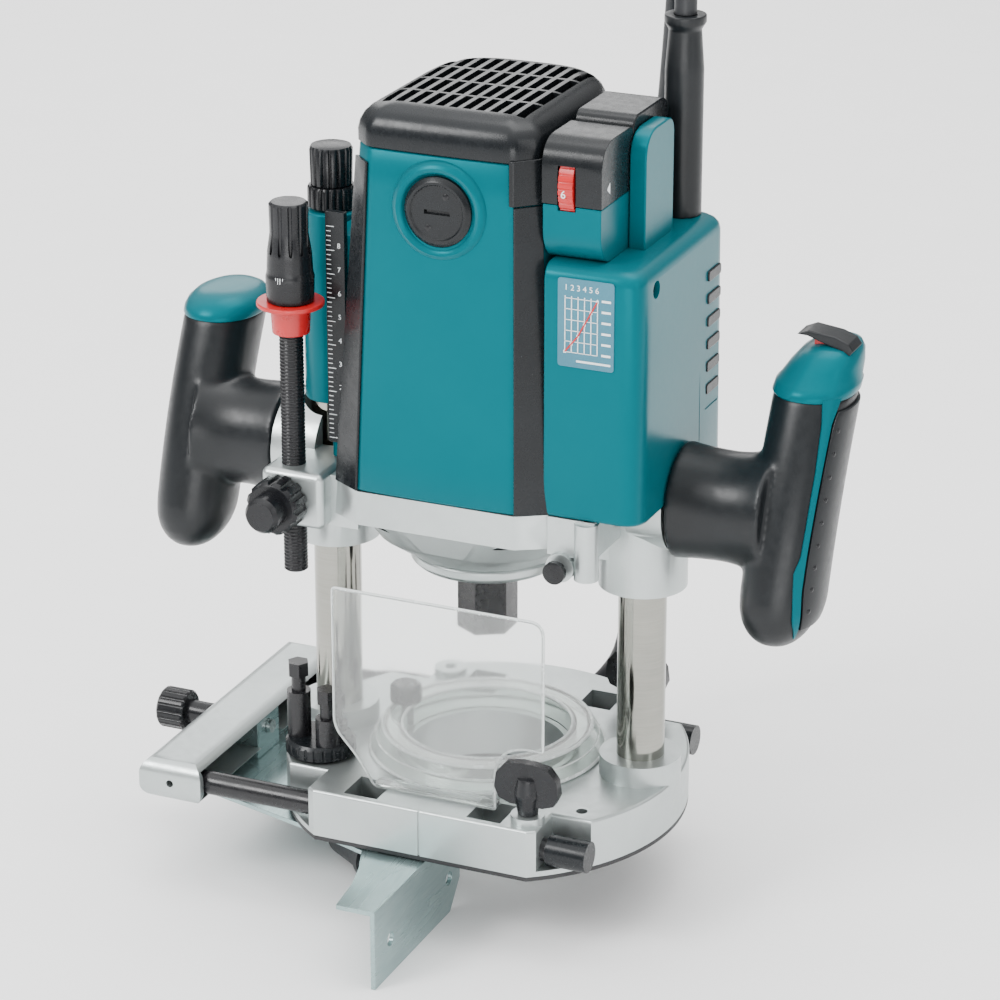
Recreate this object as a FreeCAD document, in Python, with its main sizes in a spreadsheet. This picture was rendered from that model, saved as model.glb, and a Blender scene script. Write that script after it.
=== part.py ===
import FreeCAD, Part
import math
import os
from collections import namedtuple

import Sketcher

# Plunge router. Millimetres, +Z up. The origin is on the spindle axis at the
# underside of the sole plate, -Y is the front and +X the switch and cord side.

Vector = FreeCAD.Vector
Placement = FreeCAD.Placement
Rotation = FreeCAD.Rotation

SIZES = {
    # base
    "base_radius": 85.0, "base_front": 70.4, "base_top": 22.5, "sole_thick": 2.0,
    "flange_top": 4.2, "notch_edge": 51.0, "opening_radius": 33.0,
    "window_near": 50.5, "window_far": 67.5, "window_inner": 20.0, "window_outer": 35.0,
    "boss_radius": 17.0, "boss_top": 31.7, "clamp_boss": 7.0, "clamp_x": 44.0, "clamp_boss_top": 25.5,
    "screw_circle": 43.0, "screw_radius": 2.2, "screw_head": 3.9, "screw_deep": 10.0,
    "base_fillet": 1.2,
    # columns, springs and travel stops
    "column_x": 69.0, "column_radius": 10.0, "column_bore": 7.5, "column_foot": 8.0, "column_top": 174.0,
    "spring_outer": 7.2, "spring_inner": 4.2, "spring_top": 245.7, "limit_rod": 3.2, "limit_rod_top": 232.0,
    "turret_x": -61.0, "turret_y": -35.0, "turret_radius": 15.0, "turret_top": 30.0,
    "stop_bolt_circle": 9.3, "stop_bolt_radius": 3.0, "stop_head_radius": 5.3,
    "running_gap": 0.05,
    # dust parts
    "nozzle_outer": 50.0, "nozzle_rim": 44.0, "nozzle_bore": 35.5, "nozzle_top": 33.0, "clear_wall": 2.0,
    "shield_y": -55.6, "shield_left": -44.0, "shield_right": 49.0, "shield_top": 108.5,
    # straight guide
    "rod_y": 60.0, "rod_z": 11.0, "rod_radius": 5.0, "rod_left": -127.0, "rod_right": 71.0,
    "rod_cap_radius": 6.5, "rod_cap_left": 53.8, "holder_left": -130.0, "holder_right": -101.0,
    "holder_half": 69.0, "holder_bottom": 2.0, "holder_top": 21.0, "holder_wall": 3.0,
    "fine_knob_left": -155.0, "fine_knob_radius": 9.0, "fine_screw_radius": 3.0,
    "fence_face": 2.0, "fence_thick": 2.0, "fence_top": -1.0, "fence_bottom": -36.0,
    "fence_near": 34.0, "fence_far": 117.0, "carriage_left": -118.0, "carriage_right": -104.0,
    # motor head
    "head_bottom": 108.0, "sleeve_radius": 18.3, "sleeve_top": 150.0, "bush_radius": 13.0,
    "cover_bore": 10.4, "cover_radius": 12.2, "cover_top": 250.0,
    "motor_bottom": 150.0, "motor_top": 292.0, "cap_top": 305.0, "motor_wall": 3.0,
    "motor_half_low": 47.0, "motor_half_high": 38.5, "motor_front_low": 52.0, "motor_front_high": 45.0,
    "motor_back_low": 56.0, "motor_back_high": 52.0, "front_flat_low": 34.0, "front_flat_high": 30.5,
    "strip_thick": 1.2, "brush_x": 0.0, "brush_z": 270.0, "brush_ring": 19.0, "brush_cap": 14.2,
    "switch_left": 47.6, "switch_right": 85.0, "switch_front": 46.0, "switch_back": 48.0,
    "switch_top": 254.0, "hood_left": 41.2, "hood_right": 66.0, "hood_top": 300.0,
    "dial_x": 51.5, "dial_y": -27.0, "dial_z": 284.0, "dial_radius": 16.5, "dial_wide": 6.0,
    "guard_x": 69.0, "guard_y": 37.0, "guard_radius": 7.8, "guard_top": 336.0,
    # depth stop
    "pole_x": -70.0, "pole_y": -37.0, "pole_radius": 5.0, "pole_bottom": 105.0, "pole_top": 256.0,
    "button_bottom": 208.0, "button_top": 221.5, "knob_bottom": 222.0, "knob_top": 263.0,
    "clamp_z": 139.0, "limit_knob_bottom": 250.4, "limit_bore": 3.6, "lock_y": 21.9,
    # handles
    "handle_x": 131.0, "handle_x_top": 135.0, "handle_wide": 16.0, "handle_deep": 20.0,
    "handle_bottom": 98.0, "handle_joint": 196.0, "handle_top": 214.0,
    "left_joint": 194.5, "left_top": 203.0, "left_x_top": 129.0,
    "handle_y_bottom": -12.0, "handle_y_top": 27.0, "neck_z": 147.0, "neck_radius": 23.0,
    "trigger_low": 112.0, "trigger_high": 192.0,
    # rotating parts
    "shaft_radius": 7.0, "nut_bottom": 77.0, "nut_top": 105.0, "nut_flats": 22.0, "collet_radius": 6.0,
    "core_outer": 38.0, "core_inner": 25.0, "core_bottom": 166.0, "core_top": 236.0,
    "armature_radius": 24.3, "bearing_low": 118.0, "bearing_high": 281.0,
    # power cord
    "cord_radius": 4.5, "coil_x": -69.0, "coil_y": 71.0, "coil_outer": 58.5, "coil_inner": 31.5,
    "coil_layers": 3.0, "plug_x": -56.5, "plug_y": -13.8,
}

doc = FreeCAD.newDocument("PlungeRouter")
sheet = doc.addObject("Spreadsheet::Sheet", "Sizes")
for row, (word, amount) in enumerate(SIZES.items(), start=1):
    sheet.set(f"A{row}", word)
    sheet.set(f"B{row}", str(amount))
    sheet.setAlias(f"B{row}", word)
doc.recompute()


class Size:
    """A length together with the spreadsheet expression that drives it."""

    def __init__(self, amount, text):
        self.amount = float(amount)
        self.text = text

    def __float__(self):
        return self.amount

    def __add__(self, other):
        other = as_size(other)
        return Size(self.amount + other.amount, f"({self.text} + {other.text})")

    def __radd__(self, other):
        return as_size(other) + self

    def __sub__(self, other):
        other = as_size(other)
        return Size(self.amount - other.amount, f"({self.text} - {other.text})")

    def __rsub__(self, other):
        return as_size(other) - self

    def __mul__(self, factor):
        return Size(self.amount * factor, f"({self.text} * {factor:.6f})")

    __rmul__ = __mul__

    def __neg__(self):
        return self * -1.0


def as_size(amount):
    if isinstance(amount, Size):
        return amount
    return Size(amount, f"{amount:.6f}")


class Cells:
    """cell.word is the sheet's value as a Size, for anything bound by an expression."""

    def __getattr__(self, word):
        return Size(sheet.get(word), f"Sizes.{word}")


class Numbers:
    """mm.word is the sheet's value as a plain number, for shapes worked out in code."""

    def __getattr__(self, word):
        return float(sheet.get(word))


cell = Cells()
mm = Numbers()
Circle = namedtuple("Circle", "radius x y", defaults=(0.0, 0.0))
sub_parts = []

UP = Vector(0, 0, 1)
DOWN = Vector(0, 0, -1)
FRONT = Vector(0, -1, 0)
BACK = Vector(0, 1, 0)
RIGHT = Vector(1, 0, 0)
LEFT = Vector(-1, 0, 0)


# ---- parametric helpers -------------------------------------------------------

def bind(thing, prop, amount):
    """Set a numeric property and tie it to the sheet."""
    size = as_size(amount)
    if "." not in prop:
        setattr(thing, prop, size.amount)
    thing.setExpression(prop, size.text)


def new_body(label):
    body = doc.addObject("PartDesign::Body", label)
    body.AllowCompound = True
    sub_parts.append(body)
    return body


def origin_item(body, role):
    return next(item for item in body.Origin.OriginFeatures if item.Role == role)


def new_sketch(body, plane, offset=0.0):
    sketch = body.newObject("Sketcher::SketchObject", f"{body.Name}_sketch")
    sketch.AttachmentSupport = [(origin_item(body, plane), "")]
    sketch.MapMode = "FlatFace"
    size = as_size(offset)
    sketch.AttachmentOffset = Placement(Vector(0, 0, size.amount), Rotation())
    bind(sketch, "AttachmentOffset.Base.z", size)
    return sketch


def pin_point(sketch, edge, end, x, y):
    """Hold one point of an edge at (x, y) with driven distances from the origin."""
    for kind, amount, axis in (("DistanceX", x, -2), ("DistanceY", y, -1)):
        size = as_size(amount)
        if abs(size.amount) < 1e-9:
            sketch.addConstraint(Sketcher.Constraint("PointOnObject", edge, end, axis))
            continue
        index = sketch.addConstraint(Sketcher.Constraint(kind, -1, 1, edge, end, size.amount))
        sketch.setExpression(f"Constraints[{index}]", size.text)


def draw(sketch, shapes):
    """Add circles and closed polygons to a sketch, fully constrained."""
    for shape in shapes:
        first = sketch.GeometryCount
        if isinstance(shape, Circle):
            centre = Vector(float(shape.x), float(shape.y), 0)
            sketch.addGeometry(Part.Circle(centre, UP, float(shape.radius)), False)
            size = as_size(shape.radius)
            index = sketch.addConstraint(Sketcher.Constraint("Radius", first, size.amount))
            sketch.setExpression(f"Constraints[{index}]", size.text)
            pin_point(sketch, first, 3, shape.x, shape.y)
            continue
        corners = [Vector(float(x), float(y), 0) for x, y in shape]
        count = len(corners)
        for index, corner in enumerate(corners):
            sketch.addGeometry(Part.LineSegment(corner, corners[(index + 1) % count]), False)
        for index in range(count):
            following = first + (index + 1) % count
            sketch.addConstraint(Sketcher.Constraint("Coincident", first + index, 2, following, 1))
        for index, (x, y) in enumerate(shape):
            pin_point(sketch, first + index, 1, x, y)


def pad(body, plane, offset, length, shapes):
    """Add material from a plane at an offset, along that plane's normal."""
    sketch = new_sketch(body, plane, offset)
    draw(sketch, shapes)
    feature = body.newObject("PartDesign::Pad", f"{body.Name}_pad")
    feature.Profile = sketch
    bind(feature, "Length", length)
    sketch.Visibility = False
    doc.recompute()
    return feature


def pocket(body, plane, offset, depth, shapes, reverse=False):
    """Cut material against the plane's normal, or along it, and prove that it cut."""
    before = body.Tip.Shape.Volume
    sketch = new_sketch(body, plane, offset)
    draw(sketch, shapes)
    feature = body.newObject("PartDesign::Pocket", f"{body.Name}_pocket")
    feature.Profile = sketch
    bind(feature, "Length", depth)
    feature.Reversed = reverse
    doc.recompute()
    if not feature.Shape.Volume < before - 0.01:
        raise ValueError(f"a pocket of {body.Label} cut nothing")
    return feature


def around(body, feature, count):
    """Repeat a feature round the body's Z axis."""
    pattern = body.newObject("PartDesign::PolarPattern", f"{body.Name}_pattern")
    pattern.Originals = [feature]
    pattern.Axis = (origin_item(body, "Z_Axis"), [""])
    pattern.Angle = 360
    pattern.Occurrences = count
    body.Tip = pattern
    doc.recompute()
    return pattern


def round_edges(body, radius, chosen):
    """Fillet the edges of the tip whose middle point passes the test."""
    base = body.Tip
    names = []
    for number, edge in enumerate(base.Shape.Edges, start=1):
        middle = edge.valueAt((edge.FirstParameter + edge.LastParameter) / 2)
        if chosen(edge, middle):
            names.append(f"Edge{number}")
    feature = body.newObject("PartDesign::Fillet", f"{body.Name}_fillet")
    feature.Base = (base, names)
    bind(feature, "Radius", radius)
    doc.recompute()
    return feature


def place(piece, x, y, z, direction=UP):
    """Put a piece's own origin at (x, y, z) with its Z axis along a direction."""
    piece.Placement = Placement(Vector(float(x), float(y), float(z)), Rotation(UP, direction))
    for axis, amount in (("x", x), ("y", y), ("z", z)):
        bind(piece, f"Placement.Base.{axis}", amount)


def turned(label, profiles, x=0.0, y=0.0, z=0.0, direction=UP):
    """A lathe-made piece: closed (radius, height) outlines turned about its own Z axis."""
    body = new_body(label)
    sketch = new_sketch(body, "XZ_Plane")
    draw(sketch, profiles)
    feature = body.newObject("PartDesign::Revolution", f"{body.Name}_revolution")
    feature.Profile = sketch
    feature.ReferenceAxis = (sketch, ["V_Axis"])
    feature.Angle = 360
    place(body, x, y, z, direction)
    doc.recompute()
    return body


def ring(inner, outer, low, high):
    return [(inner, low), (outer, low), (outer, high), (inner, high)]


def rod(radius, low, high):
    return [(0.0, low), (radius, low), (radius, high), (0.0, high)]


def box_outline(left, right, low, high):
    return [(left, low), (right, low), (right, high), (left, high)]


def ribbed(body, radius, low, depth, count, notch=0.9):
    """Cut a ring of grip grooves down the outside of a knob."""
    groove = pocket(body, "XY_Plane", low + depth, depth, [Circle(notch, radius, 0.0)])
    around(body, groove, count)


def feature(label, shape, placement=None):
    """A sub-part whose shape is worked out in code from the sheet's values."""
    piece = doc.addObject("Part::Feature", label)
    piece.Shape = shape
    piece.Placement = placement or Placement()
    sub_parts.append(piece)
    return piece


# ---- shape helpers for worked-out shapes ---------------------------------------

def block(left, right, front, back, low, high):
    return Part.makeBox(right - left, back - front, high - low, Vector(left, front, low))


def cylinder(radius, length, x, y, z, direction=UP):
    return Part.makeCylinder(radius, length, Vector(x, y, z), direction)


def fused(shapes):
    return shapes[0].multiFuse(shapes[1:]).removeSplitter()


def cut_away(shape, tools):
    return shape.cut(Part.makeCompound(tools)).removeSplitter()


def loft(wires, ruled=True):
    return Part.makeLoft(wires, True, ruled)


def polygon(points):
    return Part.makePolygon([Vector(*point) for point in points] + [Vector(*points[0])])


def rounded_rectangle(left, right, front, back, radius, z):
    """A closed wire of four straight sides and four corner arcs."""
    slack = radius * (1 - math.sqrt(0.5))
    corners = [(right, front, 1, -1), (right, back, 1, 1), (left, back, -1, 1), (left, front, -1, -1)]
    edges = []
    last = Vector(left + radius, front, z)
    for x, y, side_x, side_y in corners:
        along = Vector(x - side_x * radius, y, z)
        across = Vector(x, y - side_y * radius, z)
        start, end = (along, across) if side_x * side_y < 0 else (across, along)
        middle = Vector(x - side_x * slack, y - side_y * slack, z)
        edges.append(Part.makeLine(last, start))
        edges.append(Part.Arc(start, middle, end).toShape())
        last = end
    return Part.Wire(edges)


def oval(x, y, z, wide, deep):
    """A horizontal ellipse as a wire, its half sizes given along X and Y."""
    curve = Part.Ellipse(Vector(x, y + deep, z), Vector(x + wide, y, z), Vector(x, y, z))
    if wide > deep:
        curve = Part.Ellipse(Vector(x + wide, y, z), Vector(x, y + deep, z), Vector(x, y, z))
    return Part.Wire([curve.toShape()])


def motor_outline(z, inset=0.0):
    """Section of the motor body: flat front, bevelled front corners, round back."""
    part = (z - mm.motor_bottom) / (mm.motor_top - mm.motor_bottom)
    half = mm.motor_half_low + part * (mm.motor_half_high - mm.motor_half_low) - inset
    front = -(mm.motor_front_low + part * (mm.motor_front_high - mm.motor_front_low)) + inset
    back = mm.motor_back_low + part * (mm.motor_back_high - mm.motor_back_low) - inset
    flat = mm.front_flat_low + part * (mm.front_flat_high - mm.front_flat_low) - inset * 0.6
    corner = front + 8.0
    shoulder = 20.0
    points = [(-half, shoulder), (-half, corner), (-flat, front), (flat, front), (half, corner),
              (half, shoulder)]
    vertices = [Vector(x, y, z) for x, y in points]
    edges = [Part.makeLine(one, two) for one, two in zip(vertices, vertices[1:])]
    edges.append(Part.Arc(vertices[-1], Vector(0, back, z), vertices[0]).toShape())
    return Part.Wire(edges)


def column_pair(radius, length, z):
    return [cylinder(radius, length, side * mm.column_x, 0, z) for side in (-1, 1)]


# ---- base ---------------------------------------------------------------------

def window_outlines():
    """The four rectangular windows through the base, front and back of the opening."""
    outlines = []
    for side in (-1, 1):
        for end in (-1, 1):
            outlines.append(box_outline(
                cell.window_inner * side, cell.window_outer * side,
                cell.window_near * end, cell.window_far * end))
    return outlines


def front_trim():
    return box_outline(-cell.base_radius, cell.base_radius, -cell.base_radius - 5.0, -cell.base_front)


def notch_outlines():
    reach = cell.base_radius + 5.0
    outlines = []
    for side in (-1, 1):
        for end in (-1, 1):
            outlines.append(box_outline(
                cell.notch_edge * side, reach * side, cell.notch_edge * end, reach * end))
    return outlines


def make_base_casting():
    body = new_body("base_casting")
    height = cell.base_top - cell.sole_thick
    pad(body, "XY_Plane", cell.sole_thick, height, [Circle(cell.base_radius)])
    pocket(body, "XY_Plane", cell.base_top, height, [front_trim()])
    pocket(body, "XY_Plane", cell.base_top, cell.base_top - cell.flange_top, notch_outlines())
    round_edges(body, cell.base_fillet, lambda edge, middle: middle.z > mm.base_top - 0.01)
    bosses = [Circle(cell.boss_radius, cell.column_x * side, 0.0) for side in (-1, 1)]
    pad(body, "XY_Plane", cell.base_top - 3.0, cell.boss_top - cell.base_top + 3.0, bosses)
    studs = [Circle(cell.clamp_boss, x, y) for x, y in (
        (cell.clamp_x, -cell.rod_y), (cell.clamp_x, cell.rod_y), (-cell.clamp_x, cell.rod_y))]
    pad(body, "XY_Plane", cell.base_top - 3.0, cell.clamp_boss_top - cell.base_top + 3.0, studs)
    pocket(body, "XY_Plane", cell.base_top, cell.base_top, [Circle(cell.opening_radius)])
    pocket(body, "XY_Plane", cell.base_top, cell.base_top, window_outlines())
    seats = [Circle(cell.column_radius, cell.column_x * side, 0.0) for side in (-1, 1)]
    pocket(body, "XY_Plane", cell.boss_top, cell.boss_top - cell.column_foot, seats)
    tunnels = [Circle(cell.rod_radius + cell.running_gap, cell.rod_y * end, cell.rod_z) for end in (-1, 1)]
    pocket(body, "YZ_Plane", cell.base_radius + 5.0, cell.base_radius * 2.0 + 10.0, tunnels)
    clamp_hole = cell.stop_bolt_radius + cell.running_gap
    clamps = [Circle(clamp_hole, cell.clamp_x, cell.rod_y * end) for end in (-1, 1)]
    pocket(body, "XY_Plane", cell.clamp_boss_top, 9.4, clamps)
    pocket(body, "XY_Plane", cell.clamp_boss_top, 8.0, [Circle(2.5, -cell.clamp_x, cell.rod_y)])
    pocket(body, "XY_Plane", cell.base_top, 9.0, [Circle(clamp_hole, cell.turret_x, cell.turret_y)])
    pocket(body, "XY_Plane", cell.base_top, 12.0, [Circle(2.05, -40.0, 5.0), Circle(2.4, 61.0, -44.0)])
    pocket(body, "XY_Plane", cell.sole_thick, 10.0, [
        box_outline(56.0 * side, 68.0 * side, 21.0 * end, 42.0 * end)
        for side in (-1, 1) for end in (-1, 1)], reverse=True)
    angle = math.radians(45)
    holes = []
    for quarter in range(4):
        turn = angle + quarter * math.pi / 2
        holes.append(Circle(cell.screw_radius, cell.screw_circle * math.cos(turn),
                            cell.screw_circle * math.sin(turn)))
    pocket(body, "XY_Plane", cell.sole_thick, cell.screw_deep, holes, reverse=True)
    pocket(body, "XZ_Plane", cell.base_front - 0.6, 3.0, [box_outline(-0.5, 0.5, 2.0, 23.0)], reverse=True)


def make_sole_plate():
    body = new_body("sole_plate")
    pad(body, "XY_Plane", 0.0, cell.sole_thick, [Circle(cell.base_radius)])
    pocket(body, "XY_Plane", cell.sole_thick, cell.sole_thick + 1.0, [front_trim()])
    pocket(body, "XY_Plane", cell.sole_thick, cell.sole_thick + 1.0, window_outlines())
    pocket(body, "XY_Plane", cell.sole_thick, cell.sole_thick + 1.0, [Circle(cell.opening_radius)])
    for radius, depth in ((cell.screw_head + 0.2, 1.2), (cell.screw_radius, 2.0)):
        reach = cell.screw_circle * math.sqrt(0.5)
        holes = [Circle(radius, reach * side, reach * end) for side in (-1, 1) for end in (-1, 1)]
        pocket(body, "XY_Plane", 0.0, depth, holes, reverse=True)


def make_sole_screws():
    body = new_body("sole_screws")
    reach = cell.screw_circle * math.sqrt(0.5)
    spots = [(reach * side, reach * end) for side in (-1, 1) for end in (-1, 1)]
    pad(body, "XY_Plane", 0.1, 1.1, [Circle(cell.screw_head, x, y) for x, y in spots])
    pad(body, "XY_Plane", 1.2, 9.0, [Circle(cell.screw_radius, x, y) for x, y in spots])
    pocket(body, "XY_Plane", 0.1, 0.6, [box_outline(x - 2.6, x + 2.6, y - 0.5, y + 0.5) for x, y in spots],
           reverse=True)


def make_columns():
    body = new_body("columns")
    length = cell.column_top - cell.column_foot
    circles = []
    for side in (-1, 1):
        circles.append(Circle(cell.column_radius, cell.column_x * side, 0.0))
        circles.append(Circle(cell.column_bore, cell.column_x * side, 0.0))
    pad(body, "XY_Plane", cell.column_foot, length, circles)


def make_springs():
    body = new_body("plunge_springs")
    circles = []
    for side in (-1, 1):
        circles.append(Circle(cell.spring_outer, cell.column_x * side, 0.0))
        circles.append(Circle(cell.spring_inner, cell.column_x * side, 0.0))
    pad(body, "XY_Plane", cell.column_foot, cell.spring_top - cell.column_foot, circles)


def make_dust_parts():
    wall = cell.clear_wall
    profile = [
        (cell.nozzle_outer, cell.base_top), (cell.nozzle_rim, cell.nozzle_top),
        (cell.nozzle_bore, cell.nozzle_top), (cell.nozzle_bore, cell.base_top),
        (cell.nozzle_bore + wall, cell.base_top), (cell.nozzle_bore + wall, cell.nozzle_top - wall),
        (cell.nozzle_rim - wall, cell.nozzle_top - wall), (cell.nozzle_outer - wall, cell.base_top),
    ]
    body = turned("dust_nozzle", [profile])
    pocket(body, "XY_Plane", cell.nozzle_top, 14.0, [Circle(2.3, -40.0, 5.0)])
    shield = new_body("chip_deflector")
    outline = [
        (-26.0, cell.base_top), (28.0, cell.base_top), (28.0, 42.0), (33.0, 49.5), (40.0, 52.0),
        (cell.shield_right, 52.0), (cell.shield_right, cell.shield_top - 4.0),
        (cell.shield_right - 3.0, cell.shield_top - 1.5), (26.0, cell.shield_top),
        (cell.shield_left, cell.shield_top), (cell.shield_left, 46.0), (-42.0, 39.0), (-33.0, 34.0), (-28.0, 29.0),
    ]
    pad(shield, "XZ_Plane", -cell.shield_y, cell.clear_wall, [outline])
    pad(shield, "XY_Plane", cell.base_top, wall, [box_outline(-26.0, 28.0, cell.shield_y, -50.3)])


def make_clamp_screws():
    """Wing bolts that hold the guide rods, and the thumb screw of the nozzle."""
    for label, end in (("wing_bolt_front", -1), ("wing_bolt_back", 1)):
        body = turned(label, [[
            (0.0, -6.2), (cell.stop_bolt_radius, -6.2), (cell.stop_bolt_radius, 3.4), (4.2, 3.4),
            (4.6, 6.0), (5.6, 12.0), (4.4, 19.0), (0.0, 20.5)]],
            cell.clamp_x, cell.rod_y * end, cell.base_top, UP)
        pad(body, "XZ_Plane", -2.2, 4.4, [[
            (-12.0, 9.0), (-7.0, 7.2), (7.0, 7.2), (12.0, 9.0), (14.0, 13.5), (13.2, 20.0),
            (9.5, 24.6), (3.0, 25.8), (-3.0, 25.8), (-9.5, 24.6), (-13.2, 20.0), (-14.0, 13.5)]])
    turned("nozzle_screw", [[
        (0.0, -8.0), (2.0, -8.0), (2.0, 10.8), (6.6, 10.8), (6.9, 12.3), (6.7, 17.6), (5.6, 18.6),
        (0.0, 19.0)]], -40.0, 5.0, cell.base_top, UP)


def make_turret():
    pivot = cell.stop_bolt_radius
    body = turned("turret_disc", [[
        (0.0, -8.0), (pivot, -8.0), (pivot, 0.3), (cell.turret_radius - 2.0, 0.3),
        (cell.turret_radius, 1.5), (cell.turret_radius, 6.0), (cell.turret_radius - 1.2, 7.5),
        (0.0, 7.5)]], cell.turret_x, cell.turret_y, cell.base_top, UP)
    ribbed(body, cell.turret_radius + 0.3, 0.0, 8.0, 24, 0.8)
    bolts = new_body("turret_bolts")
    seat = cell.turret_top
    for turn, post, top in ((193.0, 50.0, 57.0), (313.0, 42.0, 49.0), (73.0, 33.0, 40.0)):
        x = cell.turret_x + cell.stop_bolt_circle * math.cos(math.radians(turn))
        y = cell.turret_y + cell.stop_bolt_circle * math.sin(math.radians(turn))
        pad(bolts, "XY_Plane", seat, post - 30.0, [Circle(cell.stop_head_radius - 0.3, x, y)])
        pad(bolts, "XY_Plane", post, top - post, [Circle(cell.stop_bolt_radius, x, y)])
        head = [(x + 4.6 * math.cos(math.radians(60 * side)), y + 4.6 * math.sin(math.radians(60 * side)))
                for side in range(6)]
        pad(bolts, "XY_Plane", top, 6.0, [head])


# ---- straight guide -------------------------------------------------------------

def make_guide():
    holder = new_body("guide_holder")
    half = cell.holder_half
    pad(holder, "XY_Plane", cell.holder_bottom, cell.holder_top - cell.holder_bottom,
        [box_outline(cell.holder_left, cell.holder_right, -half, half)])
    round_edges(holder, 7.0, lambda edge, middle: edge.Length > 100 or (
        abs(middle.x - mm.holder_left) > 1 and abs(middle.x - mm.holder_right) > 1))
    wall = cell.holder_wall
    pocket(holder, "YZ_Plane", cell.holder_right, cell.holder_right - cell.holder_left - wall, [
        box_outline(-half + wall, half - wall, cell.holder_bottom + wall, cell.holder_top - wall)])
    pocket(holder, "XY_Plane", cell.holder_bottom + wall, 6.0,
           [box_outline(-125.0, cell.holder_right + 3.0, -10.4, 10.4)])
    pocket(holder, "YZ_Plane", cell.holder_right, 40.0,
           [Circle(cell.fine_screw_radius + cell.running_gap, 0.0, cell.rod_z)])
    pocket(holder, "XZ_Plane", half, 5.0, [Circle(1.6, -115.5, 11.5)])
    rods = new_body("guide_rods")
    circles = [Circle(cell.rod_radius, cell.rod_y * end, cell.rod_z) for end in (-1, 1)]
    pad(rods, "YZ_Plane", cell.rod_left, cell.rod_right - cell.rod_left - 2.0, circles)
    caps = new_body("rod_end_caps")
    length = cell.rod_right - cell.rod_cap_left
    outers = [Circle(cell.rod_cap_radius, cell.rod_y * end, cell.rod_z) for end in (-1, 1)]
    pad(caps, "YZ_Plane", cell.rod_cap_left, length, outers)
    pocket(caps, "YZ_Plane", cell.rod_right - 2.0, length, circles)
    knob = turned("fine_adjust_knob", [[
        (0.0, 0.0), (cell.fine_knob_radius - 1.0, 0.0), (cell.fine_knob_radius, 1.0),
        (cell.fine_knob_radius, 12.0), (cell.fine_knob_radius - 1.0, 13.0), (5.0, 13.0), (5.0, 24.7),
        (0.0, 24.7)]], cell.fine_knob_left, 0.0, cell.rod_z, RIGHT)
    ribbed(knob, cell.fine_knob_radius + 0.2, 0.0, 13.0, 18)
    turned("fine_adjust_screw", [rod(cell.fine_screw_radius, 24.7, 53.0)],
           cell.fine_knob_left, 0.0, cell.rod_z, RIGHT)


def make_fence():
    plate = new_body("fence_plate")
    back = cell.fence_face - cell.fence_thick
    wings = []
    for end in (-1, 1):
        near = cell.fence_near * end
        far = cell.fence_far * end
        wings.append([(near, cell.fence_top), (near, -24.0), ((cell.fence_near + 10.0) * end, cell.fence_bottom),
                      (far, cell.fence_bottom), (far, cell.fence_top)])
    pad(plate, "YZ_Plane", back, cell.fence_thick, wings)
    outline = []
    for end in (-1, 1):
        side = [(cell.fence_face, cell.fence_far), (-15.0, cell.fence_far), (-17.0, 98.0), (-20.6, 84.0),
                (-26.0, 70.0), (-60.0, 58.0), (-125.0, 40.0)]
        inner = [(cell.fence_face, cell.fence_near), (-30.0, 37.0), (-52.0, 26.0)]
        if end < 0:
            outline += [(x, -y) for x, y in reversed(inner)]
            outline += [(x, -y) for x, y in side]
        else:
            outline += [(x, y * 1.0) for x, y in reversed(side)]
            outline += inner
    pad(plate, "XY_Plane", cell.fence_top - cell.fence_thick, cell.fence_thick, [outline])
    holes = [Circle(3.0, distance * end, -20.0) for distance in (45.0, 102.0) for end in (-1, 1)]
    pocket(plate, "YZ_Plane", cell.fence_face + 1.0, 5.0, holes)
    carriage = new_body("fence_carriage")
    pad(carriage, "XY_Plane", cell.fence_top, 18.0,
        [box_outline(cell.carriage_left, cell.carriage_right, -10.0, 10.0)])
    pocket(carriage, "YZ_Plane", cell.carriage_right, 20.0,
           [Circle(cell.fine_screw_radius + cell.running_gap, 0.0, cell.rod_z)])


# ---- motor head -----------------------------------------------------------------

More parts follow.
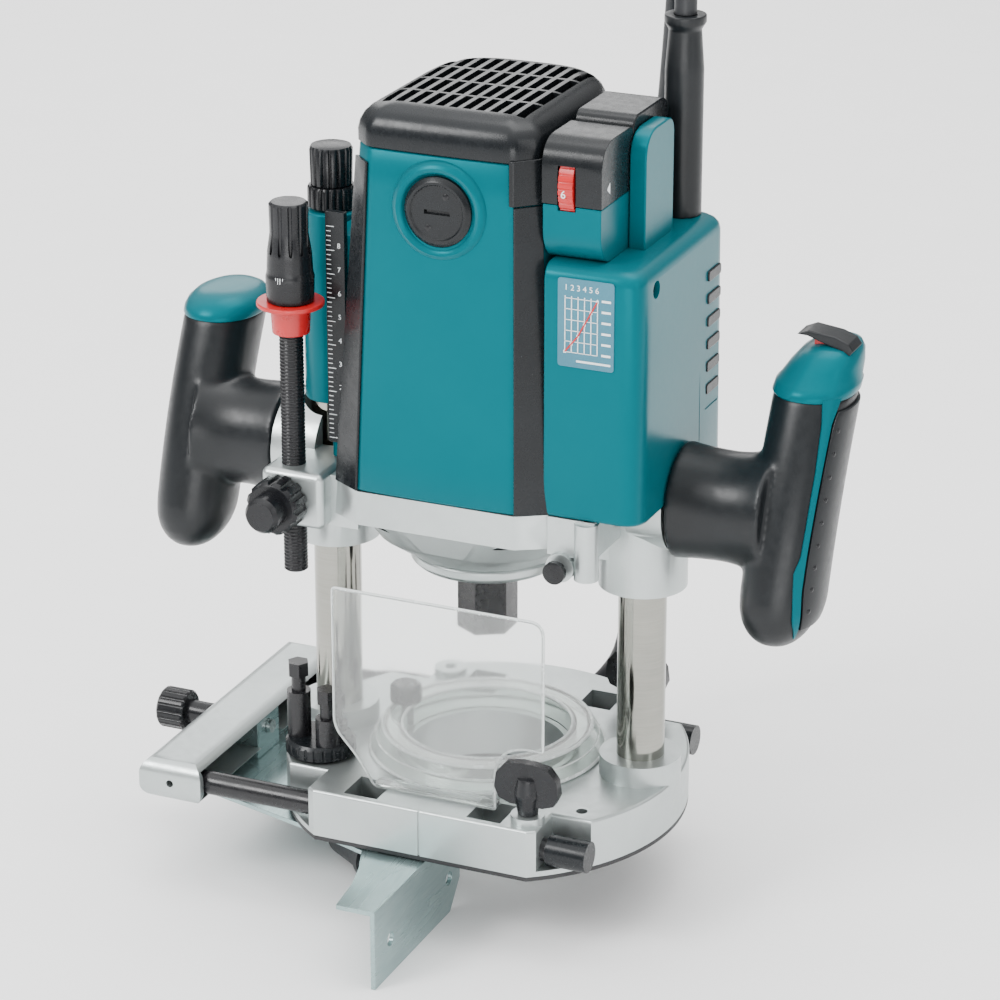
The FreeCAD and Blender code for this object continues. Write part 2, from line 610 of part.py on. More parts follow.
def make_gear_housing():
    """Silver casting: barrel under the motor, two column sleeves, and the stop arm."""
    barrel = loft([motor_outline(mm.motor_bottom), motor_outline(mm.motor_bottom - 14.0)])
    belly = loft([
        rounded_rectangle(-45, 45, -50, 52, 28, mm.motor_bottom - 14.0),
        rounded_rectangle(-41, 41, -44, 46, 32, 124),
        rounded_rectangle(-34, 34, -34, 34, 33, 115.3),
    ])
    solids = [barrel, belly]
    solids += column_pair(mm.sleeve_radius, mm.sleeve_top - mm.head_bottom, mm.head_bottom)
    for side in (-1, 1):
        inner, outer = sorted((side * 30.0, side * mm.column_x))
        solids.append(block(inner, outer, -16, 16, 122, mm.sleeve_top))
    solids.append(cylinder(21.5, 20.0, -mm.column_x - 19.7, 0, mm.neck_z, RIGHT).common(
        block(-100, 0, -30, 30, 120, 168.5)))
    solids.append(cylinder(21.5, 15.4, mm.column_x, 0, mm.neck_z, RIGHT).common(
        block(0, 100, -30, 30, 120, mm.sleeve_top)))
    stop_block = block(-80, -52, -48, -12, 128, 152)
    solids.append(stop_block.makeFillet(3.0, stop_block.Edges))
    solids.append(block(-60, -40, -40, 0, 128, mm.sleeve_top))
    solids.append(cylinder(5.0, 24.0, 62, -44, 125))
    solids.append(block(46, 66, -46, -12, 134, mm.sleeve_top))
    solids.append(cylinder(6.0, 12.0, 52, -48, 129.5, BACK))
    shape = fused(solids)
    tools = [loft([motor_outline(mm.motor_bottom + 1.0, 4.0), motor_outline(132.0, 6.0)]),
             cylinder(34.0, 12.0, 0, 0, 124), cylinder(16.05, 25.0, 0, 0, 112),
             cylinder(mm.pole_radius + 0.05, 40.0, mm.pole_x, mm.pole_y, 120),
             cylinder(3.05, 20.0, mm.pole_x, mm.pole_y - 20.0, mm.clamp_z, BACK),
             cylinder(3.05, 12.0, -mm.column_x, mm.lock_y - 8.5, 136.0, BACK),
             cylinder(2.0, 26.0, 62, -44, 124),
             cylinder(2.55, 30.0, 52, -52, 129.5, BACK)]
    tools += column_pair(mm.bush_radius, 80.0, mm.head_bottom - 5.0)
    feature("gear_housing", cut_away(shape, tools))


def make_head_fittings():
    turned("bearing_retainer", [[
        (16.2, 108.0), (30.0, 108.0), (32.0, 110.0), (32.0, 113.0), (30.0, 115.3), (16.2, 115.3)]])
    rings = new_body("column_bushes")
    circles = []
    for side in (-1, 1):
        circles.append(Circle(cell.bush_radius, cell.column_x * side, 0.0))
        circles.append(Circle(cell.column_radius + cell.running_gap, cell.column_x * side, 0.0))
    pad(rings, "XY_Plane", cell.head_bottom + 1.0, cell.sleeve_top - cell.head_bottom - 2.0, circles)
    turned("bearings", [
        ring(cell.shaft_radius + cell.running_gap, 16.0, cell.bearing_low, cell.bearing_low + 10.0),
        ring(cell.shaft_radius + cell.running_gap, 13.0, cell.bearing_high, cell.bearing_high + 7.0)])
    turned("field_core", [ring(cell.core_inner, cell.core_outer, cell.core_bottom, cell.core_top)])


def make_motor_housing():
    outer = loft([motor_outline(mm.motor_bottom), motor_outline(mm.motor_top)])
    inner = loft([motor_outline(mm.motor_bottom - 1.0, mm.motor_wall),
                  motor_outline(mm.motor_top - 4.0, mm.motor_wall)])
    front = -mm.motor_front_high - 2.5
    pads = []
    holes = []
    for side, direction in ((-1, FRONT), (1, BACK)):
        reach = -front if side < 0 else 54.5
        pads.append(cylinder(mm.brush_ring, reach - 38.0, mm.brush_x, side * 38.0, mm.brush_z, direction))
        holes.append(cylinder(mm.brush_cap + 0.02, 30.0, mm.brush_x, side * 30.0, mm.brush_z, direction))
    seats = [Part.makeCylinder(13.0, 7.0, Vector(0, 0, mm.bearing_high)),
             Part.makeCylinder(11.0, 12.0, Vector(0, 0, mm.bearing_high))]
    hollow = inner.cut(Part.makeCylinder(16.0, 8.0, Vector(0, 0, mm.bearing_high)))
    shell = cut_away(outer.multiFuse(pads), [hollow] + holes + seats)
    web = block(-58.0, -44.5, -26.0, 8.0, mm.motor_bottom + 2.1, 248.0)
    shell = fused([shell, web.cut(outer)])
    shell = cut_away(shell, [cylinder(mm.cover_radius, 120.0, -mm.column_x, 0, 149.0)])
    feature("motor_housing", largest(shell))

    layers = [(mm.motor_top, 0.0), (298.5, 0.6), (302.0, 2.4), (304.2, 5.4), (mm.cap_top, 9.0)]
    cap = None
    for (low, low_inset), (high, high_inset) in zip(layers, layers[1:]):
        section = loft([moved_outline(low, low_inset), moved_outline(high, high_inset)])
        cap = section if cap is None else cap.fuse(section)
    slots = []
    for column in range(10):
        x = -27.0 + column * 6.0
        for row in range(4):
            y = -17.0 + row * 15.0
            slots.append(block(x - 1.5, x + 1.5, y, y + 11.0, mm.cap_top - 4.0, mm.cap_top + 2.0))
    feature("vent_cap", cut_away(cap.removeSplitter(), slots))


def moved_outline(z, inset):
    """The motor's top outline, shrunk by an inset and raised to a height."""
    wire = motor_outline(mm.motor_top, inset)
    wire.translate(Vector(0, 0, z - mm.motor_top))
    return wire


def largest(shape):
    return max(shape.Solids, key=lambda solid: solid.Volume)


def make_corner_strips():
    """Dark strips laid on the two front bevels of the motor body."""
    strips = []
    for side, top in ((-1, 286.0), (1, 275.0)):
        wires = []
        for z in (mm.motor_bottom + 0.5, top):
            vertices = motor_outline(z).Vertexes
            points = [vertex.Point for vertex in vertices]
            flat = next(point for point in points if point.x * side > 0 and point.y < -1 and abs(
                point.y - min(other.y for other in points)) < 1e-6)
            corner = next(point for point in points if point.x * side > 0 and abs(
                point.y - min(other.y for other in points) - 8.0) < 1e-6)
            along = (corner - flat).normalize()
            out = Vector(-along.y * side, along.x * side, 0) * -mm.strip_thick
            wires.append(polygon([(flat.x, flat.y, z), (corner.x, corner.y, z),
                                  (corner.x + out.x, corner.y + out.y, z), (flat.x + out.x, flat.y + out.y, z)]))
        strips.append(loft(wires))
    feature("corner_strips", Part.makeCompound(strips))


def make_brushes():
    for label, side, direction in (("brush_cap_front", -1, FRONT), ("brush_cap_rear", 1, BACK)):
        face = 49.2 if side < 0 else 56.0
        body = turned(label, [[
            (0.0, 0.0), (cell.brush_cap, 0.0), (cell.brush_cap, 7.0), (12.4, 8.4), (11.4, 8.4),
            (10.8, 7.6), (0.0, 7.6)]], cell.brush_x, (face - 8.4) * side, cell.brush_z, direction)
        pocket(body, "XY_Plane", 7.6, 1.4, [box_outline(-5.5, 5.5, -0.9, 0.9)])
    brushes = new_body("carbon_brushes")
    pad(brushes, "XZ_Plane", 18.4, 22.4, [box_outline(-3.0, 3.0, 264.0, 276.0)])
    pad(brushes, "XZ_Plane", -47.6, 29.2, [box_outline(-3.0, 3.0, 264.0, 276.0)])


def make_switch_side():
    front = -mm.switch_front
    left = mm.switch_left
    right = mm.switch_right
    outer = loft([rounded_rectangle(left, right, front, mm.switch_back, 9, mm.motor_bottom),
                  rounded_rectangle(left, right - 1.0, front, mm.switch_back, 9, mm.switch_top - 6.0)])
    shoulder = loft([rounded_rectangle(left, right - 1.0, front, mm.switch_back, 9, mm.switch_top - 6.0),
                     rounded_rectangle(left, right - 7.0, front + 2.0, mm.switch_back - 2.0, 9, mm.switch_top)])
    inner = loft([rounded_rectangle(left + 3, right - 3, front + 3, mm.switch_back - 3, 6, mm.motor_bottom - 1),
                  rounded_rectangle(left + 3, right - 4, front + 3, mm.switch_back - 3, 6, mm.switch_top - 7)])
    guide = cylinder(mm.cover_radius, mm.switch_top - mm.motor_bottom - 1.0, mm.column_x, 0, mm.motor_bottom)
    bore = cylinder(mm.cover_bore, 246.0 - mm.motor_bottom + 1, mm.column_x, 0, mm.motor_bottom - 1)
    fin = block(66.3, 73.0, -14.0, 16.0, mm.switch_top - 1, 301.0)
    shape = fused([outer.cut(inner), shoulder, guide, fin])
    shape = cut_away(shape, [bore, cylinder(mm.cord_radius + 0.05, 60.0, mm.guard_x, mm.guard_y, 230.0),
                             cylinder(2.6, 4.0, 78.0, front - 1, 243.0, BACK)])
    feature("switch_housing", shape)

    hood = block(mm.hood_left, mm.hood_right, -42.0, -9.8, 256.0, mm.hood_top)
    top_front = [edge for edge in hood.Edges if edge.CenterOfMass.y < -41.9
                 and edge.CenterOfMass.z > mm.hood_top - 0.1]
    hood = hood.makeFillet(14.0, top_front)
    hood = hood.cut(cylinder(mm.dial_radius + 0.8, mm.dial_wide + 1.6, mm.dial_x - mm.dial_wide / 2 - 0.8,
                             mm.dial_y, mm.dial_z, RIGHT))
    hood = hood.cut(cylinder(1.55, 30.0, mm.hood_left - 1, mm.dial_y, mm.dial_z, RIGHT))
    feature("dial_hood", largest(hood))
    box = block(mm.hood_left, 66.0, -9.5, 28.0, mm.switch_top, 303.0)
    box = box.makeFillet(4.0, [edge for edge in box.Edges if edge.CenterOfMass.z > 302.9])
    feature("electronics_cover", box)
    chart = new_body("speed_chart")
    pad(chart, "XZ_Plane", cell.switch_front, 0.4, [box_outline(50.0, 73.5, 214.0, 247.0)])
    dial = turned("speed_dial", [[
        (1.5, 0.0), (cell.dial_radius, 0.0), (cell.dial_radius, cell.dial_wide), (1.5, cell.dial_wide)]],
        cell.dial_x - 3.0, cell.dial_y, cell.dial_z, RIGHT)
    ribbed(dial, cell.dial_radius + 0.2, 0.0, cell.dial_wide, 36, 0.6)
    pad(dial, "XY_Plane", -4.0, 14.0, [Circle(1.5)])
    turned("cord_guard", [[
        (cell.cord_radius, 0.0), (cell.guard_radius, 0.0), (cell.guard_radius, 60.0), (6.6, 76.0),
        (cell.guard_radius + 0.6, 79.0), (cell.guard_radius + 0.6, 82.0), (cell.cord_radius, 82.0)]],
        cell.guard_x, cell.guard_y, cell.guard_top - 82.0, UP)


def make_stop_side():
    turned("column_cover", [
        [(cell.cover_bore, 169.0), (cell.cover_radius, 169.0), (cell.cover_radius, cell.cover_top),
         (cell.limit_bore, cell.cover_top), (cell.limit_bore, 246.0), (cell.cover_bore, 246.0)]],
        -cell.column_x, 0.0, 0.0, UP)
    scale = new_body("depth_scale")
    pad(scale, "XZ_Plane", 26.0, 3.0, [box_outline(-58.0, -49.5, 160.0, 258.0)])
    turned("stop_pole", [rod(cell.pole_radius, cell.pole_bottom, cell.pole_top)],
           cell.pole_x, cell.pole_y, 0.0, UP)
    bore = cell.pole_radius + cell.running_gap
    turned("fast_feed_button", [[
        (bore, cell.button_bottom), (7.6, cell.button_bottom), (8.2, cell.button_top - 3.0),
        (13.8, cell.button_top - 1.8), (13.8, cell.button_top), (bore, cell.button_top)]],
        cell.pole_x, cell.pole_y, 0.0, UP)
    knob = turned("depth_knob", [[
        (bore, cell.knob_bottom), (9.6, cell.knob_bottom), (9.9, cell.knob_bottom + 10.0),
        (9.4, cell.knob_bottom + 12.0), (9.0, cell.knob_bottom + 20.0), (7.8, cell.knob_bottom + 28.0),
        (8.0, cell.knob_top - 1.0), (7.0, cell.knob_top), (0.0, cell.knob_top),
        (0.0, cell.pole_top + 0.3), (bore, cell.pole_top + 0.3)]],
        cell.pole_x, cell.pole_y, 0.0, UP)
    ribbed(knob, 8.2, 242.0, 22.0, 12, 0.9)
    clamp = turned("pole_clamp_knob", [[
        (0.0, -6.2), (3.0, -6.2), (3.0, 0.0), (11.5, 0.0), (11.5, 9.0), (10.0, 10.5), (7.5, 10.5),
        (7.5, 18.0), (6.0, 20.0), (0.0, 20.0)]], cell.pole_x, -48.6, cell.clamp_z, FRONT)
    ribbed(clamp, 11.8, 0.0, 10.5, 12, 1.6)
    knob = turned("limit_knob", [[
        (cell.limit_bore, 0.0), (10.2, 0.0), (10.2, 10.6), (9.0, 11.4), (9.2, 25.6), (8.0, 26.6), (0.0, 26.6),
        (0.0, 22.8), (cell.limit_bore, 22.8)]], -cell.column_x, 0.0, cell.limit_knob_bottom, UP)
    ribbed(knob, 9.5, 11.4, 16.0, 12, 0.9)
    turned("limit_rod", [rod(cell.limit_rod, cell.column_foot, cell.limit_rod_top)],
           -cell.column_x, 0.0, 0.0, UP)
    turned("shaft_lock", [[(0.0, -3.0), (2.5, -3.0), (2.5, 3.2), (4.6, 3.2), (4.6, 5.8), (0.0, 6.4)]],
           52.0, -48.4, 129.5, FRONT)
    lever = turned("plunge_lock_lever", [[
        (0.0, -7.5), (3.0, -7.5), (3.0, 0.0), (9.0, 0.0), (9.0, 9.0), (0.0, 9.0)]],
        -cell.column_x, cell.lock_y, 136.0, BACK)
    pad(lever, "XY_Plane", 0.4, 7.0, [[(-6.0, 0.0), (6.0, 0.0), (5.0, 40.0), (-5.0, 40.0)]])


# ---- handles --------------------------------------------------------------------

def grip_section(side, z, grow=0.0):
    """One horizontal oval of a grip, leaning back and bowed outwards in the middle."""
    part = (z - mm.handle_bottom) / (mm.handle_top - mm.handle_bottom)
    top_x = mm.handle_x_top if side > 0 else mm.left_x_top
    x = mm.handle_x + part * (top_x - mm.handle_x)
    y = mm.handle_y_bottom + part * (mm.handle_y_top - mm.handle_y_bottom) - 5.0 * math.sin(math.pi * part)
    ends = min(1.0, 0.55 + 3.2 * part, 0.62 + 2.4 * (1 - part))
    return oval(side * x, y, z, (mm.handle_wide + grow) * ends, (mm.handle_deep + grow) * ends)


def grip_loft(side, low, high, grow=0.0, steps=6):
    heights = [low + (high - low) * step / steps for step in range(steps + 1)]
    return loft([grip_section(side, z, grow) for z in heights], ruled=False)


def make_handles():
    for side, name in ((-1, "left"), (1, "right")):
        joint = mm.handle_joint if side > 0 else mm.left_joint
        top = mm.handle_top if side > 0 else mm.left_top
        grip = grip_loft(side, mm.handle_bottom, joint, steps=8)
        start = 88.9 if side < 0 else mm.switch_right + 0.4
        neck = cylinder(mm.neck_radius, 118.0 - start, side * start, 0, mm.neck_z, RIGHT * side)
        grip = fused([grip, neck])
        if side > 0:
            grip = grip.cut(trigger_recess())
            grip = grip.cut(cylinder(mm.sleeve_radius + 0.1, 60.0, mm.column_x, 0, mm.head_bottom - 5.0))
        feature(f"handle_{name}", largest(grip))
        cap = grip_loft(side, joint, top, steps=3)
        if side > 0:
            cap = cap.cut(block(122.0, 152.0, 14.4, 29.6, mm.handle_top - 5.0, mm.handle_top + 1.0))
        feature(f"handle_{name}_cap", cap)


def trigger_space(extra=0.0):
    """The box that bounds the trigger on the outer side of the right grip."""
    return block(mm.handle_x + 4.0 - extra, mm.handle_x + 32.0, -40.0, 60.0,
                 mm.trigger_low - extra, mm.trigger_high + extra)


def trigger_recess():
    inner = grip_loft(1, mm.handle_bottom + 2.0, mm.handle_joint - 1.0, -3.4, steps=8)
    return trigger_space(2.2).cut(inner)


def trigger_strip():
    """A long curved strip that follows the outer side of the right grip."""
    outer = grip_loft(1, mm.handle_bottom, mm.handle_joint, 1.6, steps=8)
    inner = grip_loft(1, mm.handle_bottom + 2.0, mm.handle_joint - 1.0, -0.4, steps=8)
    return trigger_space().common(outer).cut(inner)


def make_handle_controls():
    feature("trigger", largest(trigger_strip()))
    lever = new_body("thumb_lever")
    tip = cell.handle_x_top - 9.0
    hinge = cell.handle_x_top + 13.0
    top = cell.handle_top
    pad(lever, "XZ_Plane", -28.0, 12.0, [[
        (hinge, top - 3.0), (hinge + 1.6, top - 0.8), (hinge - 0.4, top + 2.0), (hinge - 6.0, top + 4.2),
        (tip + 5.0, top + 5.6), (tip, top + 3.4), (tip + 4.5, top + 3.2), (hinge - 7.0, top - 0.4)]])
    tab = new_body("lock_off_tab")
    pad(tab, "XZ_Plane", -26.0, 7.0, [[
        (tip + 6.5, top - 2.6), (tip + 12.0, top - 2.6), (tip + 12.0, top + 0.2), (tip + 6.5, top + 2.0)]])


# ---- rotating parts -------------------------------------------------------------

def make_spindle():
    turned("spindle_shaft", [[
        (cell.collet_radius, 84.0), (8.0, 84.0), (8.0, 106.0), (10.0, 106.0), (10.0, 110.0), (cell.shaft_radius, 110.0),
        (cell.shaft_radius, cell.bearing_high + 7.0), (0.0, cell.bearing_high + 7.0), (0.0, 110.0),
        (cell.collet_radius, 108.0)]])
    turned("armature", [
        ring(cell.shaft_radius, cell.armature_radius, cell.core_bottom, cell.core_top),
        ring(cell.shaft_radius, 18.0, 258.0, 280.0)])
    fan = turned("cooling_fan", [ring(cell.shaft_radius, 31.0, 139.0, 141.0),
                                 ring(cell.shaft_radius, 12.0, 141.0, 156.0)])
    blade = pad(fan, "XY_Plane", 141.0, 10.0, [box_outline(11.0, 30.0, -0.8, 0.8)])
    around(fan, blade, 12)
    nut = new_body("collet_nut")
    half = cell.nut_flats * 0.5
    corner = cell.nut_flats * (0.5 / math.cos(math.radians(30)))
    hexagon = [(half, corner * -0.5), (half, corner * 0.5), (0.0, corner), (-half, corner * 0.5),
               (-half, corner * -0.5), (0.0, -corner)]
    pad(nut, "XY_Plane", cell.nut_bottom, cell.nut_top - cell.nut_bottom, [hexagon])
    pocket(nut, "XY_Plane", cell.nut_top, cell.nut_top - 84.0, [Circle(8.0)])
    pocket(nut, "XY_Plane", 84.0, 20.0, [Circle(cell.collet_radius)])
    round_edges(nut, 1.0, lambda edge, middle: middle.z < mm.nut_bottom + 0.01
                and abs(math.hypot(middle.x, middle.y)) > 8)


# ---- power cord -----------------------------------------------------------------

CORD_ROUTE = [
    (69.0, 37.0, 336.0), (69.0, 37.5, 368.0), (63.0, 52.0, 396.5), (52.5, 78.0, 413.0),
    (40.5, 108.5, 413.0), (30.0, 135.0, 396.5), (24.0, 150.0, 368.0), (21.0, 154.0, 311.0),
    (14.0, 155.5, 228.0), (7.0, 154.0, 143.0), (4.5, 151.5, 68.0), (5.5, 151.0, 9.5),
    (-9.5, 150.5, -16.5), (-34.5, 142.5, -31.5), (-62.0, 134.4, -31.5),
]


def bent_path(points):
    """Straight runs joined by tangent arcs, each arc as large as its two runs allow."""
    corners = [Vector(*point) for point in points]
    edges = []
    last = corners[0]
    for before, corner, after in zip(corners, corners[1:], corners[2:]):
        inward = (corner - before).normalize()
        outward = (after - corner).normalize()
        turn = inward.getAngle(outward)
        reach = 0.45 * min((corner - before).Length, (after - corner).Length)
        radius = reach / math.tan(turn / 2)
        start = corner - inward * reach
        end = corner + outward * reach
        bisector = (outward - inward).normalize()
        middle = corner + bisector * (radius / math.cos(turn / 2) - radius)
        print(f"cord arc radius {radius:.1f} mm, turn {math.degrees(turn):.1f} degrees")
        edges.append(Part.LineSegment(last, start).toShape())
        edges.append(Part.Arc(start, middle, end).toShape())
        last = end
    edges.append(Part.LineSegment(last, corners[-1]).toShape())
    return Part.Wire(edges)


def tube_along(points, radius):
    path = bent_path(points)
    direction = Vector(*points[1]) - Vector(*points[0])
    section = Part.Wire([Part.Circle(Vector(*points[0]), direction, radius).toShape()])
    tube = path.makePipeShell([section], True, False)
    expected = math.pi * radius ** 2 * path.Length
    print(f"cord tube {path.Length:.0f} mm long, volume ratio {tube.Volume / expected:.4f}")
    return tube


def make_cord():
    feature("power_cord", tube_along(CORD_ROUTE, mm.cord_radius))
    floor = mm.fence_bottom
    high = cell.fence_bottom + cell.cord_radius * (2.0 * mm.coil_layers)
    turned("cord_coil", [ring(cell.coil_inner, cell.coil_outer, cell.fence_bottom, high)],
           cell.coil_x, cell.coil_y, 0.0, UP)
    turn = Rotation(UP, -40.0)
    grip = Part.makeCone(13.0, 11.0, 26.0, Vector(0, 0, 0), RIGHT)
    relief = Part.makeCone(5.2, 9.0, 26.0, Vector(-26, 0, 0), RIGHT)
    flange = cylinder(13.0, 4.0, 26.0, 0, 0, RIGHT)
    pins = [cylinder(2.4, 19.0, 30.0, side * 9.5, 0, RIGHT) for side in (-1, 1)]
    plug = fused([relief, grip, flange] + pins)
    feature("plug", plug, Placement(Vector(mm.plug_x, mm.plug_y, floor + 13.0), turn))


# ---- build, check and write -------------------------------------------------------

make_base_casting()
make_sole_plate()
make_sole_screws()
make_columns()
make_springs()
make_dust_parts()
make_clamp_screws()
make_turret()
make_guide()
make_fence()
make_gear_housing()
make_head_fittings()
make_motor_housing()
make_corner_strips()
make_brushes()
make_switch_side()
make_stop_side()
make_handles()
make_handle_controls()
make_spindle()
make_cord()
doc.recompute()

for item in doc.Objects:
    if "Invalid" in item.State or "Error" in item.State:
        raise ValueError(f"{item.Label} failed: {item.State}")
for piece in sub_parts:
    if piece.Shape.isNull() or not piece.Shape.isValid() or not piece.Shape.Solids:
        raise ValueError(f"{piece.Label} has no valid solid")

os.makedirs("parts", exist_ok=True)
for piece in sub_parts:
    piece.Shape.exportStep(f"parts/{piece.Label}.step")
print(len(sub_parts), "sub-parts written")
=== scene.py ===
import math

import bpy
from mathutils import Matrix, Vector


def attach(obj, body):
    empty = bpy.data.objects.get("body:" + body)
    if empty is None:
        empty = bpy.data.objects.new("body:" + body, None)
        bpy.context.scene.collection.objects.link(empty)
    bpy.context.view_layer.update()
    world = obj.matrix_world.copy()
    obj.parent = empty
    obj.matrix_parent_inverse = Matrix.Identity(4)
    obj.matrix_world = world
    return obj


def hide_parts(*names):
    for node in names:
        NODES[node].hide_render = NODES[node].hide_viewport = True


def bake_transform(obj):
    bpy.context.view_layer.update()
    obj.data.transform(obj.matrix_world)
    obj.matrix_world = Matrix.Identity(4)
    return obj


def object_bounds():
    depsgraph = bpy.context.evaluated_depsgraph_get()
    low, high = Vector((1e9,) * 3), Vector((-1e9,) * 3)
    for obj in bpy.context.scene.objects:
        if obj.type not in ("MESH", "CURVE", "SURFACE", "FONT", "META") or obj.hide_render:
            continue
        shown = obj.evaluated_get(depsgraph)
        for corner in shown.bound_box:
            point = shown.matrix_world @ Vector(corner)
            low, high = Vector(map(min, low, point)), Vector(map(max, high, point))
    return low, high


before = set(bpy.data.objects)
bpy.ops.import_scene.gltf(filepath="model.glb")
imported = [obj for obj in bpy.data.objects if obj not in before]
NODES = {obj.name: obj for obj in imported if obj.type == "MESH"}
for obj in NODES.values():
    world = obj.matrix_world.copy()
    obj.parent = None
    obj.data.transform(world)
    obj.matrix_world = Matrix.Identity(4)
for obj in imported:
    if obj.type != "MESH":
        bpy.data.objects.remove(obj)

# A plunge router. Sizes in this file are in millimetres unless a name says otherwise,
# in the part's own frame: +Z up, -Y the front, +X the switch and cord side.

MM = 0.001


def box_lists():
    return [[float(value) for value in corner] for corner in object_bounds()]


CAD_BOX = box_lists()
FLOOR = CAD_BOX[0][2]

# Places that several pieces share.
COLUMN_X = 69.0
NECK_Z = 147.0
MOTOR_LOW = 150.0
MOTOR_SPAN = 142.0
MOTOR_TOP = MOTOR_LOW + MOTOR_SPAN
BRUSH_Z = 270.0
BRUSH_PIP_REACH = 7.6
POLE_X = -70.0
POLE_Y = -37.0
SWITCH_SCREW_Y = -29.0
SWITCH_SCREW_Z = 244.0
HOOD_LEFT = 41.2
HOOD_RIGHT = 66.0
HOOD_BACK = -9.8
DIAL_Y = -27.0
DIAL_Z = 284.0
CHART_FRONT = -46.62
CHART_BACK = -46.4
CHART_LOW = 220.0
DEFLECTOR_FRONT = -57.5
DEFLECTOR_BACK = -55.7
NOZZLE_FOOT = 22.6

# ---- camera and lights --------------------------------------------------------------

CAMERA_PLACE = (0.57349, -1.30164, 0.69977)
CAMERA_AZIMUTH = 23.573
CAMERA_ELEVATION = 21.733
LENS = 133.99


def make_camera():
    data = bpy.data.cameras.new("camera")
    data.lens = LENS
    data.sensor_width = 36.0
    data.clip_end = 20.0
    camera = bpy.data.objects.new("camera", data)
    camera.location = CAMERA_PLACE
    tilt = math.radians(90.0 - CAMERA_ELEVATION)
    camera.rotation_euler = (tilt, 0.0, math.radians(CAMERA_AZIMUTH))
    bpy.context.scene.collection.objects.link(camera)
    bpy.context.scene.camera = camera


def make_light(name, place, target, size, power):
    data = bpy.data.lights.new(name, "AREA")
    data.shape = "RECTANGLE"
    data.size = size[0]
    data.size_y = size[1]
    data.energy = power
    light = bpy.data.objects.new(name, data)
    light.location = place
    aim = Vector(target) - Vector(place)
    light.rotation_euler = aim.to_track_quat("-Z", "Y").to_euler()
    bpy.context.scene.collection.objects.link(light)


def make_studio():
    make_light("key", (-1.1, -1.5, 1.5), (0.0, 0.0, 0.15), (0.8, 0.8), 42.0)
    make_light("right_fill", (1.7, -0.6, 0.8), (0.0, 0.0, 0.12), (0.35, 1.2), 5.0)
    make_light("top", (0.1, 0.3, 1.7), (0.0, 0.0, 0.1), (1.2, 0.9), 12.0)
    make_light("front_fill", (0.7, -2.0, 0.25), (0.0, 0.0, 0.1), (1.4, 0.5), 15.0)
    make_light("back_rim", (-0.9, 1.5, 0.9), (0.0, 0.0, 0.15), (0.9, 0.7), 5.0)
    world = bpy.data.worlds.new("studio")
    world.use_nodes = True
    tree = world.node_tree
    sky = tree.nodes["Background"]
    sky.inputs["Color"].default_value = (1.0, 1.0, 1.0, 1.0)
    place = tree.nodes.new("ShaderNodeTexCoord")
    split = tree.nodes.new("ShaderNodeSeparateXYZ")
    rise = node(tree, "ShaderNodeMapRange")
    rise.inputs["From Min"].default_value = 0.0
    rise.inputs["From Max"].default_value = 1.0
    rise.inputs["To Min"].default_value = 0.28
    rise.inputs["To Max"].default_value = 3.4
    square = tree.nodes.new("ShaderNodeMath")
    square.operation = "MULTIPLY"
    join(tree, place, "Generated", split, "Vector")
    tree.links.new(split.outputs["Z"], square.inputs[0])
    tree.links.new(split.outputs["Z"], square.inputs[1])
    join(tree, square, "Value", rise, "Value")
    join(tree, rise, "Result", sky, "Strength")
    bpy.context.scene.world = world


# ---- materials ----------------------------------------------------------------------

def node(tree, kind, **values):
    made = tree.nodes.new(kind)
    for key, value in values.items():
        made.inputs[key.replace("_", " ")].default_value = value
    return made


def join(tree, source, output, target, entry):
    tree.links.new(source.outputs[output], target.inputs[entry])


def surface(name, dark, light, rough, spread=0.08, grain=1800.0, bump=0.25, depth=0.05,
            stretch=(1.0, 1.0, 1.0), broad=22.0, speck=0.35, **shader_values):
    """A plastic, rubber or metal: broad and fine mottling of colour, uneven gloss, grain in relief."""
    material = bpy.data.materials.new(name)
    material.use_nodes = True
    tree = material.node_tree
    shader = tree.nodes["Principled BSDF"]
    for key, value in shader_values.items():
        shader.inputs[key.replace("_", " ")].default_value = value
    place = node(tree, "ShaderNodeTexCoord")
    stretched = node(tree, "ShaderNodeMapping", Scale=stretch)
    join(tree, place, "Object", stretched, "Vector")
    wide = node(tree, "ShaderNodeTexNoise", Scale=broad, Detail=4.0, Roughness=0.55)
    fine = node(tree, "ShaderNodeTexNoise", Scale=grain, Detail=3.0, Roughness=0.6)
    middle = node(tree, "ShaderNodeTexNoise", Scale=grain * 0.11, Detail=3.0, Roughness=0.6)
    join(tree, place, "Object", wide, "Vector")
    join(tree, stretched, "Vector", fine, "Vector")
    join(tree, stretched, "Vector", middle, "Vector")
    blend = tree.nodes.new("ShaderNodeMix")
    blend.inputs["Factor"].default_value = speck
    join(tree, wide, "Fac", blend, "A")
    join(tree, fine, "Fac", blend, "B")
    ramp = tree.nodes.new("ShaderNodeValToRGB")
    ramp.color_ramp.elements[0].position = 0.32
    ramp.color_ramp.elements[0].color = (*dark, 1.0)
    ramp.color_ramp.elements[1].position = 0.68
    ramp.color_ramp.elements[1].color = (*light, 1.0)
    join(tree, blend, "Result", ramp, "Fac")
    join(tree, ramp, "Color", shader, "Base Color")
    gloss = node(tree, "ShaderNodeMapRange")
    gloss.inputs["From Min"].default_value = 0.3
    gloss.inputs["From Max"].default_value = 0.7
    gloss.inputs["To Min"].default_value = max(0.02, rough - spread)
    gloss.inputs["To Max"].default_value = rough + spread
    join(tree, middle, "Fac", gloss, "Value")
    join(tree, gloss, "Result", shader, "Roughness")
    relief = node(tree, "ShaderNodeBump", Strength=bump, Distance=depth * MM)
    join(tree, fine, "Fac", relief, "Height")
    join(tree, relief, "Normal", shader, "Normal")
    return material


